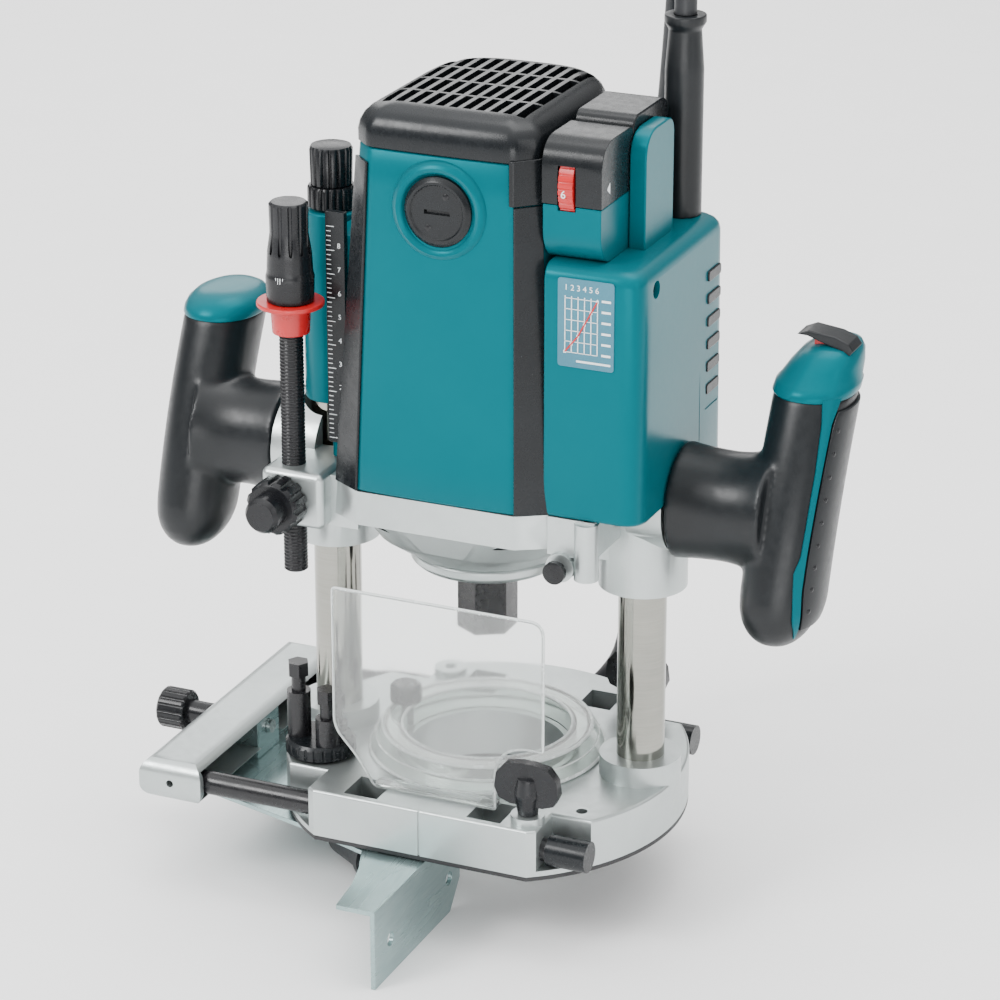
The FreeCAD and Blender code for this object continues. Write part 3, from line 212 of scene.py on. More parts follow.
def clear_plastic(name, tint, rough):
    """Clear moulded polycarbonate with faint flow marks and fine scratches."""
    material = surface(name, tint, tuple(min(1.0, value + 0.04) for value in tint), rough, 0.02,
                       grain=900.0, bump=0.05, depth=0.03, IOR=1.5)
    shader = material.node_tree.nodes["Principled BSDF"]
    shader.inputs["Transmission Weight"].default_value = 0.93
    return material


M = {
    "cast": surface("cast_aluminium", (0.42, 0.46, 0.455), (0.52, 0.56, 0.555), 0.34, 0.06, grain=2600.0,
                    bump=0.35, depth=0.08, Metallic=0.85),
    "sole": surface("sole_plate_black", (0.010, 0.010, 0.011), (0.022, 0.022, 0.024), 0.55),
    "zinc": surface("zinc_plate", (0.24, 0.34, 0.34), (0.37, 0.48, 0.48), 0.26, 0.07, grain=700.0,
                    stretch=(1.0, 0.12, 1.0), bump=0.18, depth=0.03, Metallic=0.75),
    "chrome": surface("hard_chrome", (0.25, 0.25, 0.225), (0.34, 0.335, 0.30), 0.13, 0.03, grain=600.0,
                      stretch=(0.1, 0.1, 3.0), bump=0.12, depth=0.02, Metallic=1.0),
    "steel": surface("turned_steel", (0.40, 0.40, 0.40), (0.55, 0.55, 0.54), 0.28, Metallic=1.0),
    "black_steel": surface("black_oxide", (0.005, 0.005, 0.006), (0.013, 0.013, 0.015), 0.28, 0.06,
                           bump=0.2, Specular_IOR_Level=0.4),
    "bronze": surface("sintered_bronze", (0.40, 0.28, 0.14), (0.55, 0.42, 0.22), 0.4, Metallic=0.9),
    "teal": surface("teal_plastic", (0.000, 0.082, 0.102), (0.000, 0.098, 0.120), 0.29, 0.015,
                    grain=3400.0, bump=0.03, depth=0.01, speck=0.1, broad=9.0,
                    Specular_IOR_Level=0.4, Specular_Tint=(0.03, 0.60, 0.72, 1.0)),
    "charcoal": surface("charcoal_plastic", (0.004, 0.005, 0.006), (0.009, 0.011, 0.013), 0.27, 0.05,
                        grain=2200.0, bump=0.25, depth=0.05, Specular_IOR_Level=0.28),
    "grip": surface("soft_grip", (0.004, 0.005, 0.006), (0.010, 0.012, 0.014), 0.34, 0.05, grain=2600.0,
                    bump=0.3, depth=0.06, Specular_IOR_Level=0.32),
    "knob": surface("knob_plastic", (0.004, 0.004, 0.005), (0.010, 0.011, 0.013), 0.28, 0.06,
                    grain=2000.0, bump=0.3, Specular_IOR_Level=0.32),
    "red": surface("red_plastic", (0.42, 0.008, 0.010), (0.55, 0.016, 0.018), 0.30, 0.05),
    "chart": surface("chart_film", (0.04, 0.15, 0.21), (0.06, 0.20, 0.27), 0.33, 0.05, bump=0.05,
                     Specular_IOR_Level=0.25),
    "print": surface("white_print", (0.70, 0.74, 0.75), (0.85, 0.88, 0.88), 0.45, 0.05, bump=0.05),
    "carbon": surface("carbon_block", (0.010, 0.010, 0.010), (0.030, 0.030, 0.030), 0.5),
    "nylon": surface("white_nylon", (0.60, 0.60, 0.58), (0.75, 0.75, 0.72), 0.45),
    "cord": surface("cord_jacket", (0.006, 0.007, 0.009), (0.014, 0.016, 0.019), 0.45, 0.06,
                    grain=1600.0, bump=0.4, depth=0.08),
    "clear": clear_plastic("clear_plastic", (0.93, 0.96, 0.95), 0.06),
    "clear_ring": clear_plastic("clear_ring", (0.88, 0.93, 0.90), 0.08),
    # Pale, nearly opaque white for tubes laid along clear edges: painted highlights where the clear plastic
    # catches the light.
    "painted_edge_highlight": surface("painted_highlight_white", (0.75, 0.80, 0.79), (0.90, 0.94, 0.93), 0.25, 0.05, bump=0.05,
                     Transmission_Weight=0.2, IOR=1.45),
}

NODE_LOOKS = {
    "cast": ["base_casting", "gear_housing", "guide_holder", "bearing_retainer"],
    "sole": ["sole_plate"],
    "zinc": ["fence_plate", "fence_carriage"],
    "chrome": ["columns"],
    "steel": ["sole_screws", "limit_rod", "plunge_springs", "bearings", "spindle_shaft", "field_core",
              "fine_adjust_screw", "armature"],
    "black_steel": ["guide_rods", "collet_nut", "stop_pole", "turret_bolts"],
    "bronze": ["column_bushes"],
    "clear": ["chip_deflector"],
    "clear_ring": ["dust_nozzle"],
    "teal": ["motor_housing", "switch_housing", "column_cover", "handle_left_cap", "handle_right_cap"],
    "charcoal": ["vent_cap", "dial_hood", "electronics_cover", "brush_cap_front", "brush_cap_rear",
                 "rod_end_caps", "plunge_lock_lever", "depth_scale", "turret_disc", "corner_strips"],
    "grip": ["handle_left", "handle_right", "trigger", "cord_guard", "thumb_lever"],
    "knob": ["depth_knob", "pole_clamp_knob", "limit_knob", "wing_bolt_front", "wing_bolt_back",
             "nozzle_screw", "fine_adjust_knob", "shaft_lock"],
    "red": ["fast_feed_button", "speed_dial", "lock_off_tab"],
    "chart": ["speed_chart"],
    "carbon": ["carbon_brushes"],
    "nylon": ["cooling_fan"],
    "cord": ["power_cord", "cord_coil", "plug"],
}
EDGE_WIDTHS = {
    "base_casting": 0.9, "gear_housing": 1.6, "guide_holder": 1.2, "bearing_retainer": 0.5,
    "sole_plate": 0.3, "fence_plate": 0.6, "fence_carriage": 0.5, "switch_housing": 1.0,
    "vent_cap": 0.6, "dial_hood": 1.6, "electronics_cover": 1.5, "motor_housing": 1.5,
    "column_cover": 0.8, "handle_left_cap": 1.5, "handle_right_cap": 1.5, "brush_cap_front": 0.5,
    "brush_cap_rear": 0.5, "corner_strips": 0.4, "depth_scale": 0.3, "turret_disc": 0.5,
    "turret_bolts": 0.4, "rod_end_caps": 0.7, "guide_rods": 0.4, "collet_nut": 0.7,
    "depth_knob": 0.35, "pole_clamp_knob": 0.4, "limit_knob": 0.35, "wing_bolt_front": 0.6,
    "wing_bolt_back": 0.6, "nozzle_screw": 0.5, "fine_adjust_knob": 0.4, "shaft_lock": 0.3,
    "fast_feed_button": 0.5, "speed_dial": 0.25, "thumb_lever": 0.6, "lock_off_tab": 0.4,
    "plunge_lock_lever": 0.8, "cord_guard": 0.5, "dust_nozzle": 0.4, "plug": 0.8, "columns": 0.5,
    "stop_pole": 0.4, "chip_deflector": 0.4,
}


def soften(obj, width, segments=2, angle=32.0):
    weld = obj.modifiers.new("weld", "WELD")
    weld.merge_threshold = 0.000004
    bevel = obj.modifiers.new("edges", "BEVEL")
    bevel.width = width * MM
    bevel.segments = segments
    bevel.limit_method = "ANGLE"
    bevel.angle_limit = math.radians(angle)
    bevel.use_clamp_overlap = True
    obj.modifiers.new("normals", "WEIGHTED_NORMAL")


def dress_nodes():
    for look, names in NODE_LOOKS.items():
        for name in names:
            obj = NODES[name]
            for index in range(len(obj.material_slots)):
                obj.material_slots[index].material = M[look]
            if name in EDGE_WIDTHS:
                soften(obj, EDGE_WIDTHS[name])


# ---- mesh helpers -------------------------------------------------------------------

def build(name, points, faces, body, look, edge=0.0, segments=2, crease=35.0):
    """A closed mesh from points in millimetres, riding on a body."""
    mesh = bpy.data.meshes.new(name)
    mesh.from_pydata([Vector(point) * MM for point in points], [], faces)
    mesh.validate()
    mesh.materials.append(M[look])
    mesh.shade_smooth()
    mesh.set_sharp_from_angle(angle=math.radians(crease))
    obj = bpy.data.objects.new(name, mesh)
    bpy.context.scene.collection.objects.link(obj)
    if edge:
        soften(obj, edge, segments, crease)
    if body:
        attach(obj, body)
    return obj


def turned_frame(axis):
    """The matrix that turns +Z to an axis."""
    return Vector((0, 0, 1)).rotation_difference(Vector(axis)).to_matrix()


def loft(name, rings, body, look, edge=0.0, segments=2, crease=35.0):
    """A closed skin over a stack of rings that have the same number of points."""
    points, faces = loft_data(rings)
    return build(name, points, faces, body, look, edge, segments, crease)


def loft_data(rings, start=0):
    points = [point for ring in rings for point in ring]
    count = len(rings[0])
    faces = []
    for level in range(len(rings) - 1):
        for step in range(count):
            a = start + level * count + step
            b = start + level * count + (step + 1) % count
            faces.append((a, b, b + count, a + count))
    faces.append(tuple(start + step for step in reversed(range(count))))
    top = start + (len(rings) - 1) * count
    faces.append(tuple(top + step for step in range(count)))
    return points, faces


def lathe(name, profile, place, axis, body, look, around=64, ribs=None, edge=0.0, crease=35.0):
    """Turn (radius, height) points about an axis; ribs = (low, high, count, depth) flutes the outside."""
    turn = turned_frame(axis)
    rings = []
    for radius, height in profile:
        ring = []
        for step in range(around):
            angle = 2.0 * math.pi * step / around
            reach = radius
            if ribs and ribs[0] <= height <= ribs[1]:
                reach -= ribs[3] * max(0.0, math.cos(angle * ribs[2])) ** 2
            point = Vector((reach * math.cos(angle), reach * math.sin(angle), height))
            ring.append(Vector(place) + turn @ point)
        rings.append(ring)
    return loft(name, rings, body, look, edge, 2, crease)


def rounded(corners, radius, steps=5):
    """A closed outline with each corner turned into an arc; a corner may give its own radius."""
    points = []
    count = len(corners)
    for index, corner in enumerate(corners):
        size = corner[2] if len(corner) > 2 else radius
        here = Vector(corner[:2])
        before = Vector(corners[index - 1][:2]) - here
        after = Vector(corners[(index + 1) % count][:2]) - here
        reach = min(size, before.length * 0.49, after.length * 0.49)
        one = here + before.normalized() * reach
        two = here + after.normalized() * reach
        for step in range(steps + 1):
            part = step / steps
            points.append(one * (1 - part) ** 2 + here * 2 * part * (1 - part) + two * part ** 2)
    return points


def prism(name, outline, plane, low, high, body, look, edge=0.4, segments=2, crease=35.0):
    """An outline in the plane xy, xz or yz, drawn out between two levels of the third axis."""
    rings = []
    for level in (low, high):
        if plane == "xy":
            rings.append([(a, b, level) for a, b in outline])
        elif plane == "xz":
            rings.append([(a, level, b) for a, b in outline])
        else:
            rings.append([(level, a, b) for a, b in outline])
    if plane == "xz":
        rings.reverse()
    return loft(name, rings, body, look, edge, segments, crease)


def carve(obj, cutter_shapes):
    """Cut closed shapes, given as stacks of rings, out of a piece for good."""
    points = []
    faces = []
    for rings in cutter_shapes:
        more_points, more_faces = loft_data(rings, len(points))
        points += more_points
        faces += more_faces
    mesh = bpy.data.meshes.new("cutter")
    mesh.from_pydata([Vector(point) * MM for point in points], [], faces)
    cutter = bpy.data.objects.new("cutter", mesh)
    bpy.context.scene.collection.objects.link(cutter)
    cut = obj.modifiers.new("cut", "BOOLEAN")
    cut.operation = "DIFFERENCE"
    cut.solver = "EXACT"
    cut.object = cutter
    obj.modifiers.move(len(obj.modifiers) - 1, 0)
    others = [modifier for modifier in obj.modifiers if modifier.name != "cut"]
    for modifier in others:
        modifier.show_viewport = False
    bpy.context.view_layer.update()
    shaped = obj.evaluated_get(bpy.context.evaluated_depsgraph_get())
    obj.data = bpy.data.meshes.new_from_object(shaped)
    obj.modifiers.remove(cut)
    for modifier in others:
        modifier.show_viewport = True
    bpy.data.objects.remove(cutter)


def box_rings(left, right, front, back, low, high):
    outline = [(left, front), (right, front), (right, back), (left, back)]
    return [[(x, y, z) for x, y in outline] for z in (low, high)]


def disc_rings(radius, place, axis, length, around=48):
    turn = turned_frame(axis)
    rings = []
    for height in (0.0, length):
        rings.append([Vector(place) + turn @ Vector((
            radius * math.cos(2 * math.pi * step / around), radius * math.sin(2 * math.pi * step / around),
            height)) for step in range(around)])
    return rings


def melt(obj, voxel, rounds):
    """Join overlapping closed skins into one and smooth the seam between them."""
    remesh = obj.modifiers.new("melt", "REMESH")
    remesh.mode = "VOXEL"
    remesh.voxel_size = voxel * MM
    remesh.use_smooth_shade = True
    smooth = obj.modifiers.new("smooth", "SMOOTH")
    smooth.factor = 0.5
    smooth.iterations = rounds


def tube_mesh(path, radius, around=16):
    """Points and faces of a round tube along a path, with its ends closed."""
    points = []
    faces = []
    normal = None
    count = len(path)
    for index, place in enumerate(path):
        ahead = path[min(index + 1, count - 1)] - path[max(index - 1, 0)]
        ahead.normalize()
        if normal is None:
            normal = ahead.orthogonal().normalized()
        normal = (normal - ahead * normal.dot(ahead)).normalized()
        across = ahead.cross(normal)
        for step in range(around):
            turn = 2.0 * math.pi * step / around
            points.append(place + (normal * math.cos(turn) + across * math.sin(turn)) * radius)
    for index in range(count - 1):
        for step in range(around):
            a = index * around + step
            b = index * around + (step + 1) % around
            faces.append((a, b, b + around, a + around))
    faces.append(tuple(reversed(range(around))))
    faces.append(tuple(range((count - 1) * around, count * around)))
    return points, faces


def letters(name, text, size, place, body, look):
    """Raised print that faces the front."""
    data = bpy.data.curves.new(name, "FONT")
    data.body = text
    data.size = size * MM
    data.extrude = 0.05 * MM
    data.align_x = "CENTER"
    data.align_y = "CENTER"
    holder = bpy.data.objects.new(name, data)
    bpy.context.scene.collection.objects.link(holder)
    bpy.context.view_layer.update()
    mesh = bpy.data.meshes.new_from_object(holder)
    bpy.data.objects.remove(holder)
    mesh.transform(Matrix.Translation(Vector(place) * MM) @ Matrix.Rotation(math.radians(90.0), 4, "X"))
    mesh.materials.clear()
    mesh.materials.append(M[look])
    obj = bpy.data.objects.new(name, mesh)
    bpy.context.scene.collection.objects.link(obj)
    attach(obj, body)
    return obj


def bars(name, boxes, body, look):
    """Many small blocks as one piece."""
    points = []
    faces = []
    for low_high in boxes:
        more_points, more_faces = loft_data(box_rings(*low_high), len(points))
        points += more_points
        faces += more_faces
    return build(name, points, faces, body, look)


# ---- grips --------------------------------------------------------------------------

GRIP_BOTTOM = 98.0
GRIP_SPAN = 116.0


def grip_point(side, z, angle, grow=0.0):
    """A point on the skin of a grip at a height and an angle from straight outwards."""
    part = (z - GRIP_BOTTOM) / GRIP_SPAN
    x = 131.0 + (4.0 if side > 0 else -3.5) * part
    y = -12.0 + 39.0 * part - 5.0 * math.sin(math.pi * part)
    low = max(0.0, 1.0 - part / 0.17)
    ends = math.sqrt(max(0.0, 1.0 - 0.86 * low ** 2.2))
    wide = (16.2 + grow) * ends
    deep = (20.0 + grow) * ends
    turn = math.radians(angle)
    across = math.copysign(abs(math.cos(turn)) ** 0.92, math.cos(turn))
    along = math.copysign(abs(math.sin(turn)) ** 0.92, math.sin(turn))
    return (side * (x + wide * across), y + deep * along, z)


def grip_ring(side, z, grow=0.0, count=56):
    ring = [grip_point(side, z, 360.0 * step / count, grow) for step in range(count)]
    if side < 0:
        ring.reverse()
    return ring


def grip_patch(name, side, heights, first, last, inner, outer, body, look, edge=0.4):
    """A strip laid on a grip's skin between two angles that change with height."""
    rings = []
    steps = 12
    for z in heights:
        ring = []
        for grow, order in ((outer, range(steps + 1)), (inner, range(steps, -1, -1))):
            for step in order:
                angle = first(z) + (last(z) - first(z)) * step / steps
                ring.append(grip_point(side, z, angle, grow))
        rings.append(ring)
    return loft(name, rings, body, look, edge, 2, 40.0)


def blend_between(knots, z):
    """A value read off a table of (height, value) with straight lines between."""
    for (low, one), (high, two) in zip(knots, knots[1:]):
        if z <= high:
            part = max(0.0, (z - low) / (high - low))
            return one + (two - one) * part
    return knots[-1][1]


def make_grip(side, name, joint, start):
    heights = [GRIP_BOTTOM + value for value in (0.0, 0.8, 2.5, 5.0, 9.0, 14.0, 20.0)]
    heights += [GRIP_BOTTOM + 20.0 + (joint - GRIP_BOTTOM - 20.0) * step / 14 for step in range(1, 15)]
    points, faces = loft_data([grip_ring(side, z) for z in heights])
    neck = []
    reach = 126.0 - start
    for step in range(13):
        part = step / 12
        radius = 22.4 + 1.8 * (1 - part) ** 4 + 4.5 * max(0.0, part - 0.45) ** 2 / 0.3
        x = side * (start + reach * part)
        ring = []
        for index in range(48):
            turn = 2.0 * math.pi * index / 48
            ring.append((x, radius * 0.94 * math.cos(turn), NECK_Z + radius * math.sin(turn)))
        if side < 0:
            ring.reverse()
        neck.append(ring)
    more_points, more_faces = loft_data(neck, len(points))
    grip = build(f"{name}_body", points + more_points, faces + more_faces, "motor_head", "grip")
    melt(grip, 1.1, 14)
    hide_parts(name)
    return grip


def make_grips():
    make_grip(-1, "handle_left", 194.5, 88.9)
    make_grip(1, "handle_right", 196.5, 85.4)
    rings = []
    for z, grow in ((193.6, 0.2), (194.2, 0.6), (196.5, 0.6), (199.0, -0.4), (201.2, -2.6), (202.4, -5.6),
                    (202.9, -9.5)):
        rings.append(grip_ring(-1, z, grow))
    cap = loft("handle_left_top", rings, "motor_head", "teal", 0.0, 2, 50.0)
    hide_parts("handle_left_cap")
    rings = []
    for z, grow, lean in ((195.6, 0.2, 0.0), (196.2, 0.7, 0.0), (199.5, 0.5, 0.4), (200.2, -0.2, 0.5),
                          (206.0, -2.0, 2.2), (210.5, -4.2, 3.6), (212.8, -6.6, 4.4), (213.8, -9.5, 4.8)):
        rings.append([(x + lean, y, height) for x, y, height in grip_ring(1, z, grow)])
    cap = loft("handle_right_top", rings, "motor_head", "teal", 0.0, 2, 50.0)
    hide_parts("handle_right_cap")
    inner_edge = [(104.0, -40.0), (112.0, -52.0), (124.0, -57.0), (132.0, -60.0), (138.0, -53.0),
                  (150.0, -52.0), (170.0, -52.0), (188.0, -56.0), (197.0, -62.0)]
    outer_edge = [(104.0, -38.0), (124.0, -45.0), (138.0, -45.0), (170.0, -43.0), (188.0, -42.0),
                  (197.0, -34.0)]
    heights = [104.0 + 93.0 * step / 40 for step in range(41)]
    grip_patch("grip_band", 1, heights, lambda z: blend_between(inner_edge, z),
               lambda z: blend_between(outer_edge, z), -1.5, 0.8, "motor_head", "teal", 0.3)
    heights = [108.0 + 84.0 * step / 30 for step in range(31)]
    panel = grip_patch("trigger_panel", 1, heights, lambda z: blend_between(outer_edge, z) + 2.5,
                       lambda z: 62.0, -1.4, 1.3, "trigger", "grip", 0.5)
    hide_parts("trigger")
    for index in range(9):
        z = 116.0 + 8.6 * index
        place = Vector(grip_point(1, z, -31.0, 1.1))
        out = Vector((math.cos(math.radians(-31.0)), math.sin(math.radians(-31.0)), 0.0))
        lathe(f"trigger_dot_{index}", [(1.15, -0.6), (1.15, 0.1), (0.85, 0.45), (0.4, 0.6)], place, out,
              "trigger", "knob", 16)


# ---- motor head ---------------------------------------------------------------------

def motor_ring(z, inset=0.0, crown=0.0, level=None):
    """Section of the motor body at a height: crowned front, rounded bevels, squarish back.

    A level draws the section of one height at another."""
    part = (z - MOTOR_LOW) / MOTOR_SPAN
    half = 47.0 - 8.5 * part - inset
    front = -52.0 + 7.0 * part + inset
    back = 56.0 - 4.0 * part - inset
    flat = 34.0 - 3.5 * part - inset * 0.6
    corner = front + 8.0
    shoulder = 12.0
    corners = [(-half, shoulder), (-half, corner), (-flat, front), (flat, front), (half, corner),
               (half, shoulder)]
    points = []
    corner_reach = 2.4
    square = 0.62
    for index in range(1, 5):
        here = Vector(corners[index])
        before = (Vector(corners[index - 1]) - here).normalized() * corner_reach
        after = (Vector(corners[index + 1]) - here).normalized() * corner_reach
        if index == 3:
            for step in range(1, 12):
                x = -flat + 2.0 * flat * step / 12
                points.append(Vector((x, front - crown * (1.0 - (x / flat) ** 2))))
        for step in range(5):
            along = step / 4
            points.append(here + before * (1 - along) ** 2 + after * along ** 2)
    for step in range(33):
        angle = math.pi * step / 32
        across = math.copysign(abs(math.cos(angle)) ** square, math.cos(angle))
        points.append(Vector((half * across, shoulder + (back - shoulder) * math.sin(angle) ** square)))
    return [(point.x, point.y, z if level is None else level) for point in points]


def make_motor_shell():
    heights = [(150.2, 1.0), (150.6, 0.4), (151.4, 0.0)]
    heights += [(151.4 + 139.6 * step / 10, 0.0) for step in range(1, 11)]
    heights.append((291.8, 0.8))
    rings = [motor_ring(z, inset, 0.6) for z, inset in heights]
    shell = loft("motor_shell", rings, "motor_head", "teal", 0.0, 2, 50.0)
    prism("motor_web", rounded([(-58.0, -26.0), (-40.0, -26.0), (-40.0, 8.0), (-58.0, 8.0)], 1.5),
          "xy", 152.2, 248.0, "motor_head", "teal", 0.8)
    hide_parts("motor_housing")


def make_brush_rings():
    for name, side in (("brush_ring_front", -1.0), ("brush_ring_rear", 1.0)):
        base = 38.0 if side < 0 else 44.0
        profile = [(20.8, 0.0), (20.8, 6.6), (20.2, 8.4), (19.0, 9.9), (17.6, 10.5), (16.2, 10.2),
                   (15.1, 9.2), (14.6, 7.6), (14.4, 5.0)]
        lathe(name, profile, (0.0, side * base, BRUSH_Z), (0.0, side, 0.0), "motor_head", "teal",
              72)
        face = side * (48.3 if side < 0 else 55.1)
        pips = [(1.3, 0.0), (1.3, 0.25), (0.9, 0.45)]
        for turn in (60.0, 240.0):
            place = (BRUSH_PIP_REACH * math.cos(math.radians(turn)), face,
                     BRUSH_Z + BRUSH_PIP_REACH * math.sin(math.radians(turn)))
            lathe(f"{name}_pip_{int(turn)}", pips, place, (0.0, side, 0.0), "motor_head", "knob",
                  20)


def make_vent_cap():
    cap_levels = [(292.0, 0.2), (292.4, -0.5), (297.0, -0.6), (300.5, 0.1), (303.4, 1.5), (305.6, 3.6),
                  (307.2, 6.4), (308.0, 9.6), (308.3, 12.0)]
    rings = [motor_ring(MOTOR_TOP, inset, 0.6, level) for level, inset in cap_levels]
    cap = loft("vent_top", rings, "motor_head", "charcoal", 0.0, 2, 40.0)
    slots = []
    slot_half = 1.8
    slot_length = 16.8
    for column in range(11):
        x = -28.5 + 5.7 * column
        for row in range(4):
            y = -33.0 + 18.6 * row
            slots.append(box_rings(x - slot_half, x + slot_half, y, y + slot_length, 301.0, 312.0))
    carve(cap, slots)
    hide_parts("vent_cap")
    rings = []
    for z, flat, front in ((275.4, 30.9, -45.85), (293.5, 30.5, -45.0)):
        half = flat + 8.1
        rings.append([(flat - 1.5, front - 1.1, z), (flat + 0.7, front - 1.3, z),
                      (half + 1.2, front + 7.0, z), (half + 1.0, front + 24.0, z),
                      (half - 2.0, front + 24.0, z), (half - 2.0, front + 8.0, z),
                      (flat, front + 1.0, z)])
    loft("vent_corner", rings, "motor_head", "charcoal", 0.6)


def make_switch_shell():
    low_right = 85.0
    high_right = 84.0
    left = 44.0
    front = -46.0
    back = 48.0
    levels = [(150.2, 1.0, low_right), (150.8, 0.2, low_right), (152.0, 0.0, low_right),
              (248.0, 0.0, high_right), (250.4, 0.5, high_right), (252.2, 1.7, high_right),
              (253.4, 3.4, high_right), (254.0, 5.6, high_right)]
    rings = []
    for z, inset, right in levels:
        outline = rounded([(left, front + inset, 1.0), (right - inset, front + inset, 9.0),
                           (right - inset, back - inset, 9.0), (left, back - inset, 1.0)], 9.0, 8)
        rings.append([(x, y, z) for x, y in outline])
    shell = loft("switch_shell", rings, "motor_head", "teal", 0.0, 2, 50.0)
    carve(shell, [disc_rings(3.6, (86.0, SWITCH_SCREW_Y, SWITCH_SCREW_Z), (-1.0, 0.0, 0.0), 6.0),
                  box_rings(84.55, 87.0, 19.0, 19.7, 153.0, 247.0),
                  box_rings(84.4, 87.0, 26.0, 42.0, 176.0, 236.0)])
    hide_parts("switch_housing")
    lathe("switch_screw", [(3.0, 0.0), (3.0, 1.2), (2.2, 1.8)], (80.6, SWITCH_SCREW_Y, SWITCH_SCREW_Z),
          (1.0, 0.0, 0.0), "motor_head", "black_steel", 24)
    for row in range(6):
        z = 182.0 + 9.6 * row
        prism(f"switch_louvre_{row}", rounded([(27.0, z), (41.0, z), (41.0, z + 4.4), (27.0, z + 4.4)], 1.5),
              "yz", 83.6, 85.0, "motor_head", "charcoal", 0.4)
    prism("switch_fin", rounded([(-14.0, 252.0, 1.0), (16.0, 252.0, 1.0), (16.0, 301.0, 7.0),
                                 (-14.0, 301.0, 12.0)], 4.0, 8),
          "yz", 66.2, 73.2, "motor_head", "teal", 2.2, 4)


def make_hood():
    box = prism("electronics_box", rounded([(-9.4, 253.0, 1.0), (28.0, 253.0, 1.0), (28.0, 305.5, 8.0),
                                            (-9.4, 305.5, 6.0)], 4.0, 8),
                "yz", HOOD_LEFT, HOOD_RIGHT, "motor_head", "charcoal", 2.4, 4)
    top = prism("hood_top", rounded([(-42.0, 277.2, 0.6), (HOOD_BACK, 277.2, 0.6), (HOOD_BACK, 302.6, 4.0),
                                     (-42.0, 302.6, 16.0)], 4.0, 8),
                "yz", HOOD_LEFT, HOOD_RIGHT, "motor_head", "charcoal", 1.8, 4)
    low = prism("hood_foot", rounded([(-36.0, 254.0, 5.0), (HOOD_BACK, 254.0, 0.6), (HOOD_BACK, 277.0, 0.6),
                                      (-41.8, 277.0, 0.6), (-41.8, 262.0, 7.0)], 4.0, 8),
                "yz", 41.6, 65.8, "motor_head", "teal", 1.6, 4)
    slot = [disc_rings(17.2, (47.8, DIAL_Y, DIAL_Z), (1.0, 0.0, 0.0), 7.4)]
    carve(top, slot)
    carve(low, slot)
    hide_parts("dial_hood")
    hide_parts("electronics_cover")
    letters("dial_number", "6", 4.4, (50.8, -43.55, 282.0), "speed_dial", "print")
    prism("dial_arrow", [(-33.6, 281.6), (-33.6, 286.0), (-36.4, 283.8)], "yz", 65.9, 66.15, "motor_head",
          "print", 0.0)


def make_chart():
    plate = prism("chart_plate", rounded([(50.0, 214.0), (73.5, 214.0), (73.5, 250.0), (50.0, 250.0)], 1.5),
                  "xz", -46.45, -45.8, "motor_head", "chart", 0.15)
    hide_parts("speed_chart")
    front = CHART_FRONT
    back = CHART_BACK
    across = 2.7
    rise = 4.4
    lines = [(53.0 + across * step, 53.35 + across * step, front, back, CHART_LOW, 243.0)
             for step in range(6)]
    lines += [(53.0, 66.8, front, back, CHART_LOW + rise * step, 220.25 + rise * step)
              for step in range(6)]
    lines += [(68.4, 72.2, front, back, CHART_LOW + rise * step, 220.9 + rise * step)
              for step in range(6)]
    lines.append((58.0, 72.2, front, back, 216.4, 217.2))
    bars("chart_lines", lines, "motor_head", "print")
    letters("chart_numbers", "1 2 3 4 5 6", 3.3, (60.0, -46.5, 246.3), "motor_head", "print")
    run = [Vector((53.2, -46.66, 220.2)), Vector((58.6, -46.66, 227.0)), Vector((66.6, -46.66, 242.0))]
    points, faces = tube_mesh(run, 0.32, 8)
    build("chart_curve", points, faces, "motor_head", "red")
    dots = []
    half = 0.55
    for x, z in ((53.2, 220.2), (55.9, 223.6), (58.6, 227.0), (61.3, 232.0), (64.0, 237.1), (66.6, 242.0)):
        dots.append((x - half, x + half, front - 0.1, back, z - half, z + half))
    bars("chart_dots", dots, "motor_head", "print")


def make_scale():
    half = 0.14
    ticks = []
    for step in range(46):
        z = 162.0 + 2.0 * step
        reach = 3.4 if step % 5 == 0 else 1.9
        ticks.append((-57.4, -57.4 + reach, -29.12, -28.9, z - half, z + half))
    bars("scale_ticks", ticks, "motor_head", "print")
    for step in range(9):
        letters(f"scale_number_{step}", f"{step}", 3.0, (-52.0, -29.0, 164.0 + 10.0 * step), "motor_head",
                "print")


def make_stop_pole():
    profile = []
    root = 4.45
    crest = 5.0
    pitch = 1.5
    height = 105.0
    while height < 255.0:
        profile += [(root, height), (crest, height + 0.45), (crest, height + 0.75), (root, height + 1.2)]
        height += pitch
    pole = lathe("threaded_pole", profile, (POLE_X, POLE_Y, 0.0), (0.0, 0.0, 1.0), "stop_pole",
                 "black_steel", 24, crease=60.0)
    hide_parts("stop_pole")
    marks = []
    for step in range(10):
        x = -74.5 + step
        marks.append((x - 0.12, x + 0.12, -46.95 + 0.12 * (step - 4.5) ** 2, -44.0, 231.0, 233.4))
    bars("depth_knob_marks", marks, "depth_knob", "print")


def make_springs():
    """Wound springs inside the columns, short enough to stay hidden at full plunge."""
    turns = 27
    steps = 14
    coil = 5.7
    foot = 10.0
    rise = 192.0
    for name, side in (("spring_left", -1.0), ("spring_right", 1.0)):
        wire = []
        for step in range(turns * steps + 1):
            angle = 2.0 * math.pi * step / steps
            wire.append(Vector((side * COLUMN_X + coil * math.cos(angle), coil * math.sin(angle),
                                foot + rise * step / (turns * steps))))
        points, faces = tube_mesh(wire, 1.4, 8)
        spring = build(name, points, faces, "base", "steel")
        if side > 0:
            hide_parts("plunge_springs")


